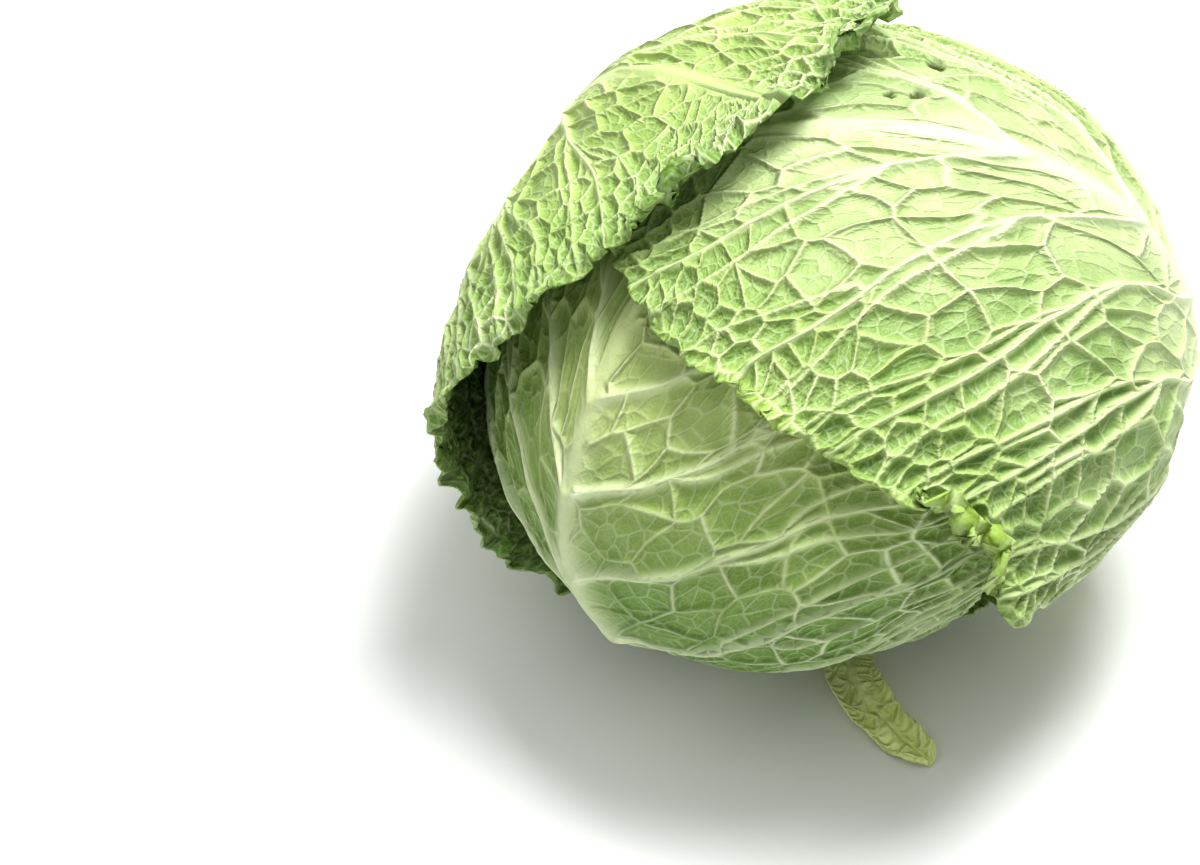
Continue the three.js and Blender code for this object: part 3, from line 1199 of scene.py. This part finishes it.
    def laid(self, head: Head) -> Blade:
        """Lays the smooth blade over the head.

        Args:
            head: the form that the leaf wraps.

        Returns:
            The blade.
        """
        q, t = self.sheet.grid()
        margin = self.margin_distance(q, t)
        d = self.directions(q, self.scalloped(head.point(self.directions(q, t), 0.0), q, t))
        points = head.point(d, self.stand_off(d, q, t))
        width = np.abs(self.leaf_angles(q, t)[1])
        fold = sum((curl.share(q, t) * bell(margin, curl.band) for curl in self.curls), 0.0 * q)
        return Blade(q, t, d, points, margin, width, fold, self.scarred(d))

    def ruffled(self, blade: Blade) -> Array:
        """Waves the margin, in two sizes that die away inwards, and wrinkles its folds.

        Args:
            blade: the smooth blade.

        Returns:
            The moved places.
        """
        points, margin = blade.points, blade.margin
        noise, wrinkles = self.noise(Draw.RUFFLES), self.noise(Draw.WRINKLES).layered(points, 4.4)
        wave = (0.5 + noise(points, 9.0)) * bell(margin, 6.0)
        wave = wave + noise(points + 91.0, 4.6) * bell(margin, 8.0)
        height = self.frill * self.looseness(blade.q, blade.t) ** 2 * wave + 3.0 * blade.fold * wrinkles
        return points + self.sheet.normals(points) * height[..., None]

    def curled(self, points: Array, blade: Blade) -> Array:
        """Rolls the curled stretches of the margin outward.

        Args:
            points: places of the ruffled blade.
            blade: the smooth blade.

        Returns:
            The moved places.
        """
        up = self.sheet.normals(points)
        outward = unit(np.gradient(points, axis=1) * np.sign(blade.t)[..., None])
        noise = self.noise(Draw.CURLS)
        for curl in self.curls:
            share = curl.share(blade.q, blade.t) * (0.92 + curl.crumple * noise(points, 7.0))
            bend = np.maximum(math.radians(curl.turn) * share / curl.band, 1e-6)
            x = np.clip(curl.band - blade.margin, 0.0, curl.band)
            along = np.sin(bend * x) / bend - x
            above = (1.0 - np.cos(bend * x)) / bend
            points = points + outward * along[..., None] + up * above[..., None]
        return points

    def veined(self, blade: Blade) -> Veins:
        """Lays the side veins and their forks.

        Args:
            blade: the smooth blade.

        Returns:
            The side veins.
        """
        q, t, points = blade.q, blade.t, blade.points
        noise = self.noise(Draw.SIDE_VEINS)
        outward = np.abs(t)
        inside = smoothstep(1.0 - q, 0.0, 0.12) * smoothstep(q, 0.0, 0.1)
        stagger = 0.22 * np.sign(t) * smoothstep(outward, 0.0, 0.35)
        wander = (0.2 * noise(points, 38.0) + 0.03 * noise(points, 12.0)) * smoothstep(q, 0.08, 0.4)
        row = self.net.laterals * q + (wander - stagger) * inside
        rows = [row]
        for shift, reach in ((400.0, -0.36), (700.0, 0.34)):
            start = 0.42 + 0.35 * noise(points + shift, 42.0)
            spread = np.clip((outward - start) / (1.0 - start), 0.0, 1.0) ** 0.6
            rows.append(row + reach * spread * (1.0 + 0.25 * noise(points + 2.0 * shift, 20.0)) * inside)
        along, across = np.gradient(points, axis=0), np.gradient(points, axis=1)
        area = np.linalg.norm(np.cross(along, across), axis=-1)
        step = area / np.maximum(np.linalg.norm(across, axis=-1), 1e-6)
        gap = step / np.maximum(np.abs(np.gradient(row, axis=0)), 1e-4)
        rng = np.random.default_rng(self.net.seed + Draw.STRENGTHS.value)
        luck = rng.uniform(0.65, 1.0, (2, self.net.laterals + 3))
        strength = luck[(t < 0).astype(int), np.round(row).astype(int)]
        return Veins(np.stack(rows, -1), gap, strength * (1.0 - 0.66 * outward) * (1.0 - 0.35 * q))

    def netted(self, blade: Blade, veins: Veins) -> dict[str, Array]:
        """Lays the net between the side veins.

        Args:
            blade: the smooth blade.
            veins: its side veins.

        Returns:
            By name: cell, the width of the net's cells; and web, a place counted in cells, along the side
            vein and across it, and moved far off from one strip to the next.
        """
        net, points, row = self.net, blade.points, veins.rows[..., 0]
        cell = net.cell * (net.fringe + (1.0 - net.fringe) * smoothstep(blade.margin, 0.0, 58.0))
        step = np.linalg.norm(np.gradient(points, axis=1), axis=-1) / (cell * net.stretch)
        along = np.cumsum(step, axis=1)
        along = np.abs(along - along[:, self.sheet.columns : self.sheet.columns + 1])
        path = np.cumsum(veins.gap * np.abs(np.gradient(row, axis=0)) / (0.9 * cell), axis=0)
        strip = np.floor(row)
        starts = [np.interp(*column) for column in zip(strip.T, np.maximum.accumulate(row).T, path.T)]
        across = path - np.array(starts).T
        strip = strip + np.where(blade.t < 0, self.HALF_STEP, 0.0)
        noise = self.noise(Draw.NET)
        wander = net.warp * np.stack([noise(points + shift, 15.0) for shift in (0.0, 130.0)], -1)
        place = np.stack([along, across], -1) + strip[..., None] * np.array(self.STRIP_STEP) + wander
        return {"cell": cell, "web": np.concatenate([place, 0.0 * place[..., :1]], -1)}

    def relief(self, blade: Blade, veins: Veins) -> Array:
        """Raises the midrib and side veins and crumples the blade.

        Args:
            blade: the smooth blade.
            veins: its side veins.

        Returns:
            Height over the rolled blade.
        """
        q, lead, away = blade.q, veins.lead, veins.away
        ridge = (0.12 + lead) * bell(away[..., 0], 0.9 + 1.3 * lead)
        fork = (0.2 + 0.7 * lead) * bell(away[..., 1:].min(axis=-1), 0.8 + 0.8 * lead)
        height = (0.5 + self.rib * (1.0 - q) ** 1.4) * blade.midrib - self.SINK
        rising = smoothstep(blade.margin, 0.0, 12.0)
        height = height + self.net.lateral_height * np.maximum(ridge, fork) * rising
        crumples = self.noise(Draw.CRUMPLES).layered(blade.points, 13.0)
        height = height + self.net.crumple * crumples * blade.clear - 1.2 * blade.scar
        return height + 0.8 * blade.fold * self.noise(Draw.RUFFLES).layered(blade.points, 3.6)

    def masks(self, blade: Blade) -> dict[str, Array]:
        """Where the blade may sink, and where its colours show.

        Args:
            blade: the smooth blade.

        Returns:
            Shares from 0 to 1 by name.
        """
        q, margin, high = blade.q, blade.margin, blade.points[..., 2]
        calm = (1.0 - smoothstep(np.abs(blade.t), 0.1, 0.65)) * 0.65
        calm = np.maximum(calm, 0.5 * smoothstep(q, 0.55, 0.85) * smoothstep(margin, 8.0, 30.0))
        room = blade.clear * (0.5 + 0.5 * smoothstep(margin, 0.0, 4.0)) * smoothstep(high, 3.0, 12.0)
        # paler near the midrib, partly its own pale tissue and partly painted light, and paler away from
        # the margin
        pale = 0.8 * bell(blade.beside_rib, 24.0) * (1.0 - 0.5 * q) + 0.5 * smoothstep(margin, 6.0, 50.0)
        # low is painted shade: the blade turns a darker green towards the ground, where less light falls
        return {
            "room": room * (1.0 - self.calm * calm), "free": smoothstep(blade.beside_rib, 1.2, 3.6),
            "midrib": blade.midrib * (1.0 - 0.7 * q * q), "pale": (pale - 0.1).clip(0, 1),
            "fold": blade.fold.clip(0, 1), "scar": (1.7 * blade.scar).clip(0, 1),
            "margin": bell(margin, 8.0), "low": self.shaded * (1.0 - smoothstep(high, 40.0, 150.0))}

    def build(self, head: Head) -> bpy.types.Object:
        """Makes the painted blade.

        Args:
            head: the form that the leaf wraps.

        Returns:
            The piece.
        """
        blade = self.laid(head)
        veins = self.veined(blade)
        height = self.relief(blade, veins)[..., None]
        rolled = self.curled(self.ruffled(blade), blade)
        up = self.sheet.normals(rolled)
        wall = self.thickness * (0.55 + 0.45 * smoothstep(blade.margin, 0.0, 10.0))[..., None]
        outer = rolled + up * height
        inner = (rolled + up * (np.minimum(height, 1.0) - wall))[::2, ::2]
        outer[..., 2] = np.maximum(outer[..., 2], 0.0)
        inner[..., 2] = np.maximum(inner[..., 2], 0.8 * self.thickness)
        masks = {"out": up} | veins.masks() | self.netted(blade, veins) | self.masks(blade)
        return self.sheet.build(f"{self.name}_blade", outer, inner, masks, self.finish.material)


@dataclass(frozen=True)
class Stub:
    """The folded stub of a peeled leaf, lying on the surface in front of the stalk.

    Its spine curves over the ground from start to end, drawn towards bend. The three places are counted
    from the point under the head's centre.
    """

    name: str = "leaf_lower_front"
    slot: str = "leaf_stub"
    finish: Finish = Finish.STUB
    start: tuple[float, float] = (11.0, -24.0)
    bend: tuple[float, float] = (-6.0, -44.0)
    end: tuple[float, float] = (27.0, -76.0)
    half_width: float = 8.0
    thickness: float = 1.8
    rib: float = 1.6
    sheet: Sheet = Sheet(130, 44, welded=False)
    net: Net = Net(laterals=6, cell=6.0, depth=0.8, fold=0.5, seed=77)

    def flat(self, q: Array, t: Array) -> Array:
        """Outline of the stub on the ground, under the head's centre.

        Args:
            q: rows.
            t: columns.

        Returns:
            Places by row and column.
        """
        start, bend, end = (np.array([*xy, 0.0]) for xy in (self.start, self.bend, self.end))
        r, s = q[..., None], (q - 0.09 * q * t**4)[..., None]
        spine = (1 - s) ** 2 * start + 2 * s * (1 - s) * bend + s**2 * end
        side = np.cross(UP, unit(2 * (1 - r) * (bend - start) + 2 * r * (end - bend)))
        half = self.half_width * (0.42 + 0.46 * np.sin(math.pi * (0.12 + 0.72 * q)))
        ragged = 0.05 * t**4 * NoiseField(self.net.seed)(spine + side * t[..., None] * 9.0, 5.0)
        return spine + side * (half * t * (1.0 + ragged))[..., None]

    def masks(self, flat: Array, q: Array, t: Array) -> dict[str, Array]:
        """Veins, net and colours of the stub.

        Args:
            flat: its outline on the ground.
            q: rows.
            t: columns.

        Returns:
            What the crinkle and the finish read, by name.
        """
        noise, laterals, across = NoiseField(self.net.seed), self.net.laterals, np.abs(t)
        row = laterals * (q - 0.3 * across * (1.0 - q)) + 0.25 * noise(flat, 12.0)
        rows = np.stack([row, row - 0.4 * across, row + 0.4 * across], -1)
        length = math.dist(self.start, self.end)
        return Veins(rows, np.full(q.shape, length / laterals), 0.3 * (1.0 - q)).masks() | {
            "web": (flat + 2.0 * noise(flat, 9.0)[..., None]) / self.net.cell,
            "cell": np.full(q.shape, self.net.cell), "out": np.broadcast_to(UP, flat.shape),
            "room": 0.6 * q, "free": smoothstep(across, 0.05, 0.25),
            "midrib": bell(t, 0.2) * (1.0 - q), "pale": (0.8 - 0.7 * q).clip(0, 1), "margin": t**4 * q,
            "fold": 0.6 * t**4}

    def build(self, head: Head) -> bpy.types.Object:
        """Makes the painted stub.

        Args:
            head: gives the place of the head's centre.

        Returns:
            The piece.
        """
        q, t = self.sheet.grid()
        flat = self.flat(q, t)
        noise, edge = NoiseField(self.net.seed), t**4
        fold = 4.5 * q * np.abs(t + 0.15) ** 1.4 * (1.0 - 0.75 * smoothstep(q, 0.55, 1.0))
        fold = fold + 1.2 * q * (1.0 + np.cos(5.0 * t + 9.0 * q))
        wave = q * (0.4 + noise(flat, 5.0) * (0.4 + edge) + 0.5 * noise(flat + 40.0, 2.4))
        lower = np.maximum(fold + wave, 0.0)
        strand = bell(noise(flat, 9.0), 0.09)
        wall = self.thickness * (1.0 - 0.4 * edge) + self.rib * (1.0 - q) * bell(t, 0.33) + 0.4 * strand * q
        ground = flat + np.array([head.centre[0], head.centre[1], 0.0])
        outer = ground + UP * (lower + wall)[..., None]
        inner = (ground + UP * lower[..., None])[::2, ::2]
        masks = self.masks(flat, q, t)
        return self.sheet.build(f"{self.name}_blade", outer, inner, masks, self.finish.material)


# ------------------------------------------------------------------------------------------ heart and stalk
@dataclass(frozen=True)
class InnerLeaf:
    """A leaf of the heart, of which only the margin shows: its layer's offset and its leaf angles."""

    azimuth: float
    offset: float
    tip: float
    base: float = 19.0
    width: float = 54.0

    def inside(self, d: Array) -> Array:
        """How far unit directions are inside the outline.

        Args:
            d: unit directions in the head's frame.

        Returns:
            Share of the leaf's size, below 0 outside it.
        """
        phi, width = angles_over_leaf(d, self.azimuth)
        a = np.abs(phi - (self.base + self.tip) / 2) / ((self.tip - self.base) / 2)
        return 1.0 - squarish(a, np.abs(width / self.width), Leaf.SQUARENESS)


@dataclass(frozen=True)
class Heart:
    """The dense heart: a closed core with the margins of its inner leaves standing out of it."""

    name: str = "heart"
    slot: str = "heart"
    finish: Finish = Finish.HEART
    net: Net | None = None
    core: float = -37.0
    leaves: tuple[InnerLeaf, ...] = (
        InnerLeaf(30.5, -25.2, 172.0), InnerLeaf(253.0, -28.0, 168.0), InnerLeaf(115.5, -30.8, 164.0),
        InnerLeaf(338.0, -33.6, 160.0))
    rings: int = 109
    segments: int = 200
    recess_radius: float = 21.5
    recess_top: float = 41.6
    seed: int = 12

    def directions(self) -> Array:
        """Directions of its vertices, ring by ring from the bottom, with a pole at each end.

        Returns:
            Unit directions in the head's frame.
        """
        polar = np.linspace(0.0, math.pi, self.rings + 2)[1:-1]
        around = np.linspace(0.0, 2 * math.pi, self.segments, endpoint=False)
        a, b = np.meshgrid(polar, around, indexing="ij")
        d = np.stack([np.sin(a) * np.cos(b), np.sin(a) * np.sin(b), -np.cos(a)], -1)
        return np.concatenate([DOWN[None], d.reshape(-1, 3), UP[None]])

    def recessed(self, points: Array, head: Head) -> Array:
        """Clears the room of the stalk, which comes up from below.

        Args:
            points: places of the heart.
            head: gives the axis of the stalk.

        Returns:
            The moved places.
        """
        axis = np.array([math.sin(head.lean_rad), 0.0, -math.cos(head.lean_rad)])
        local = points - head.centre
        depth = local @ axis
        beside = np.linalg.norm(local - depth[:, None] * axis, axis=1)
        excess = np.where(beside < self.recess_radius, np.maximum(depth - self.recess_top, 0.0), 0.0)
        return points - excess[:, None] * axis

    def build(self, head: Head) -> bpy.types.Object:
        """Makes the painted heart.

        Args:
            head: the form that it fills.

        Returns:
            The piece.
        """
        d, noise = self.directions(), NoiseField(self.seed)
        height = np.full(len(d), self.core)
        for leaf in self.leaves:
            height = np.where(leaf.inside(d) > 0.02 * noise(d * 100, 8.0), leaf.offset, height)
        bumps = np.abs(noise(d * 100.0, 9.0)) + 0.5 * np.abs(noise(d * 100.0 + 50.0, 4.5))
        points = self.recessed(head.point(d, height + bumps - 0.4), head)
        faces = ring_faces(self.rings, self.segments)
        piece = make_object(f"{self.name}_leaves", points, faces, self.finish.material)
        same = {"cell": 11.0, "gap": 20.0, "lead": 0.2, "room": 1.0, "free": 1.0, "pale": 0.6}
        paint(piece, {name: np.full(len(d), value) for name, value in same.items()})
        web = np.stack([np.unwrap(np.arctan2(d[:, 1], d[:, 0])) * 7.0, d[:, 2] * 9.0, 0.0 * bumps], -1)
        paint(piece, {"web": web, "rows": web * 0.5})
        return piece


@dataclass(frozen=True)
class Stalk:
    """The cut stalk, lobed at the azimuths of its leaf scars, with a flat cut face on the ground."""

    name: str = "stalk"
    slot: str = "stalk"
    finish: Finish = Finish.STALK
    net: Net | None = None
    radius: float = 19.0
    lobe: float = 1.2
    top: float = 42.0
    scars: tuple[float, ...] = (135.5, 358.0, 226.0, 83.0, 305.5, 168.0)
    roughness: float = 0.3
    bundles: int = 36
    bundle_ring: float = 0.72
    segments: int = 144
    rings: int = 30
    face_rings: int = 12
    seed: int = 31

    CUT_HEIGHT = 0.3

    def rings_of_points(self, head: Head) -> Array:
        """Lays rings over the cut face, from its middle outwards, and up the side to the dome.

        Args:
            head: gives its axis and foot.

        Returns:
            Places in the head's frame: the middle of the face, and then ring by ring.
        """
        c, s = math.cos(head.lean_rad), math.sin(head.lean_rad)
        turn = np.linspace(0.0, 2 * math.pi, self.segments, endpoint=False)
        rise = np.linspace(0.0, 1.0, self.rings + 1)[:, None]
        scar = np.max([np.cos(turn - math.radians(a)) for a in self.scars], axis=0) ** 8
        ring = np.stack([np.cos(turn), np.sin(turn), 0 * turn], -1)
        rough = NoiseField(self.seed)(ring[None] * self.radius + rise[..., None] * UP * 40.0, 3.5)
        belly = np.sin(math.pi * rise)
        radius = (self.radius + self.lobe * scar * belly) * np.sqrt(1.0 - 0.75 * rise**6)
        radius = radius + self.roughness * rough * belly
        foot = -(head.centre_height + radius[:1] * np.cos(turn) * s) / c
        z = foot + (-self.top - foot) * rise
        side = np.stack([radius * np.cos(turn), radius * np.sin(turn), z], -1)
        middle = DOWN * head.centre_height / c
        face = middle + (side[0] - middle) * np.linspace(0.08, 0.97, self.face_rings)[:, None, None]
        return np.concatenate([middle[None], np.concatenate([face, side]).reshape(-1, 3)])

    def build(self, head: Head) -> bpy.types.Object:
        """Makes the painted stalk.

        Args:
            head: gives its axis and foot.

        Returns:
            The piece.
        """
        lid = UP * (1.0 - self.top)
        points = np.concatenate([self.rings_of_points(head), lid[None]])
        placed = head.to_world(points)
        placed[:, 2] = np.maximum(placed[:, 2], 0.0)
        faces = ring_faces(self.face_rings + self.rings + 1, self.segments)
        piece = make_object(f"{self.name}_stem", placed, faces, self.finish.material)
        beside = np.linalg.norm(points[:, :2], axis=1) / self.radius
        spokes = 0.5 + 0.5 * np.sin(self.bundles * np.arctan2(points[:, 1], points[:, 0]))
        fibre = bell(beside - self.bundle_ring, 0.07) * spokes
        cut = (placed[:, 2] < self.CUT_HEIGHT).astype(float)
        paint(piece, {"cut": cut, "fibre": fibre.clip(0, 1)})
        return piece


# ------------------------------------------------------------------------------------------ studio
@dataclass(frozen=True)
class FloorFinish:
    """Matt pale paper, slightly uneven."""

    name: str = "floor_paint"
    light: Colour = srgb(238, 238, 237)
    dark: Colour = srgb(233, 234, 233)

    def material(self) -> bpy.types.Material:
        """Builds the material.

        Returns:
            The new material.
        """
        shader = Shader(self.name)
        tint = shader.mix(shader.noise(shader.place, 3.0), self.light, self.dark)
        return shader.finish(Base_Color=tint, Roughness=0.9, Specular_IOR_Level=0.1)


@dataclass(frozen=True)
class Lamp:
    """A square area light: its place and side in metres and its power in watts."""

    name: str
    place: tuple[float, float, float]
    size: float
    power: float

    def build(self, target: Vector) -> None:
        """Adds the light.

        Args:
            target: what it faces.
        """
        data = bpy.data.lights.new(self.name, "AREA")
        data.size = self.size
        data.energy = self.power
        lamp = bpy.data.objects.new(self.name, data)
        lamp.location = self.place
        lamp.rotation_euler = (target - Vector(self.place)).to_track_quat("-Z", "Y").to_euler()
        bpy.context.scene.collection.objects.link(lamp)


def turned(first: Vector, second: Vector, angle: float) -> tuple[Vector, Vector]:
    """Two square unit vectors turned in their plane, the first away from the second."""
    c, s = math.cos(angle), math.sin(angle)
    return first * c - second * s, second * c + first * s


@dataclass(frozen=True)
class Studio:
    """Camera, lights and pale floor. The camera's sizes on the frame are pixels."""

    elevation: float = 42.0
    distance: float = 1000.0
    focal_px: float = 3755.0
    frame_px: tuple[int, int] = (1200, 865)
    head_px: tuple[float, float] = (829.0, 355.0)
    sensor: float = 36.0
    lamps: tuple[Lamp, ...] = (
        Lamp("key", (0.30, 0.14, 1.26), 0.5, 22.0), Lamp("sky", (-0.3, -0.2, 1.7), 2.2, 15.0))
    ambient: float = 0.4
    floor_half: float = 4000.0

    def camera(self, head: Head) -> None:
        """Places the camera so that the head's centre falls where it should in the frame.

        Args:
            head: what is looked at.
        """
        e = math.radians(self.elevation)
        ahead, right = Vector((0.0, math.cos(e), -math.sin(e))), Vector((1.0, 0.0, 0.0))
        place = Vector(head.centre) * MM - ahead * self.distance * MM
        yaw = math.atan((self.head_px[0] - self.frame_px[0] / 2) / self.focal_px)
        pitch = math.atan((self.frame_px[1] / 2 - self.head_px[1]) / self.focal_px)
        ahead, right = turned(ahead, right, yaw)
        ahead, over = turned(ahead, right.cross(ahead), pitch)
        data = bpy.data.cameras.new("camera")
        data.sensor_width = self.sensor
        data.lens = self.sensor * self.focal_px / self.frame_px[0]
        data.clip_end = 20.0
        camera = bpy.data.objects.new("camera", data)
        turn = Matrix((right, over, -ahead)).transposed()
        camera.matrix_world = Matrix.Translation(place) @ turn.to_4x4()
        bpy.context.scene.collection.objects.link(camera)
        bpy.context.scene.camera = camera

    def build(self, head: Head) -> None:
        """Makes the whole studio.

        Args:
            head: what is lit and looked at.
        """
        self.camera(head)
        for lamp in self.lamps:
            lamp.build(Vector(head.centre) * MM)
        world = bpy.data.worlds.new("studio")
        world.use_nodes = True
        background = world.node_tree.nodes["Background"].inputs
        background["Color"].default_value = (1.0, 1.0, 1.0, 1.0)
        background["Strength"].default_value = self.ambient
        bpy.context.scene.world = world
        bpy.context.scene.view_settings.view_transform = "Standard"
        signs = ((-1, -1), (1, -1), (1, 1), (-1, 1))
        corners = np.array([(x * self.floor_half, y * self.floor_half, 0.0) for x, y in signs])
        floor = make_object("floor", corners, [[0, 1, 2, 3]], FloorFinish().material())


# ------------------------------------------------------------------------------------------ the whole head
def wrapper_leaves() -> list[Leaf]:
    """Lists the wrapper leaves.

    Returns:
        The six leaves, outermost first.
    """
    left, right = Side.LEFT, Side.RIGHT
    return [
        Leaf(
            "leaf_rear_left", "leaf_deep_green", Finish.REAR, 135.5, (0.6, 7.5), 186.0, (62.0, 50.0),
            Sheet(300, 110),
            Net(laterals=9, cell=11.0, depth=2.3, lateral_height=1.1, fold=1.8, crumple=1.1, warp=0.3,
                fringe=0.5, seed=11),
            rib=4.5, flare=(5.0, 3.0), frill=3.6, lift=Lift(108, 47, 3.0, 10, 40),
            curls=(
                Curl(right, 0.66, 0.82, 240.0, 9.0), Curl(right, 0.84, 1.0, 120.0, 6.0),
                Curl(left, 0.86, 1.0, 120.0, 6.0))),
        Leaf(
            "leaf_right", "leaf_green", Finish.OUTER, 358.0, (0.0, 0.0), 207.0, (58.0, 66.0),
            Sheet(300, 112), Net(laterals=8, cell=15.0, stretch=1.3, depth=2.4, fold=1.4, seed=22),
            rib=4.5, flare=(2.0, 2.5), frill=2.6, lobe=Lobe(right, 0.3, 0.43, 6.0),
            narrowing=Narrowing(right, 0.38, 0.42),
            curls=(Curl(right, 0.4, 0.6, 190.0, 9.0, 0.6), Curl(right, 0.68, 0.82, 95.0, 7.0)),
            scars=(Scar(153.9, -21.6, 3.2), Scar(157.9, -9.9, 2.6), Scar(162.3, -9.1, 1.8))),
        Leaf(
            "leaf_left", "leaf_pale_green", Finish.SMOOTH, 226.0, (-5.0, -5.0), 184.0, (72.0, 58.0),
            Sheet(260, 100),
            Net(laterals=8, cell=13.0, stretch=1.5, depth=1.3, fold=1.2, crumple=0.7, fringe=0.5, seed=33),
            # the strongest painted shade near the ground
            rib=7.5, lift=Lift(246, -6, 3.0, 20, 40), shaded=1.1, calm=0.6),
        Leaf(
            "leaf_rear_right", "leaf_green", Finish.OUTER, 83.0, (-10.0, -10.0), 178.0, (56.0, 56.0),
            Sheet(200, 80), Net(cell=14.0, depth=1.5, seed=44), base=14.5, lift=Lift(72, -14, 5.0, 4, 24)),
        Leaf(
            "leaf_front", "leaf_pale_green", Finish.SMOOTH, 305.5, (-15.0, -15.0), 172.0, (54.0, 54.0),
            Sheet(160, 60), Net(cell=15.0, depth=1.2, seed=55), base=15.0, rib=5.0),
        Leaf(
            "leaf_inner_left", "leaf_pale_green", Finish.SMOOTH, 168.0, (-20.0, -20.0), 166.0, (52.0, 52.0),
            Sheet(120, 50), Net(cell=15.0, depth=1.2, seed=66), base=16.0, rib=4.0),
    ]


def main() -> None:
    """Builds the studio and every piece of the head, and reports each one."""
    logging.basicConfig(level=logging.INFO, format="%(name)s: %(message)s")
    mount = frame["record"]["mounts"][0]["pos_m"]
    head = Head(foot=(mount[0] / MM, mount[1] / MM))
    Studio().build(head)
    crinkle = Crinkle()
    for part in [*wrapper_leaves(), Stub(), Heart(), Stalk()]:
        piece = part.build(head)
        if part.net:
            crinkle.apply(piece, part.net, part.finish.material)
        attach(piece, "root")
        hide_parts(part.name)
        log.info("%s: %d faces", piece.name, len(piece.data.polygons))


if __name__ == "__main__":
    main()
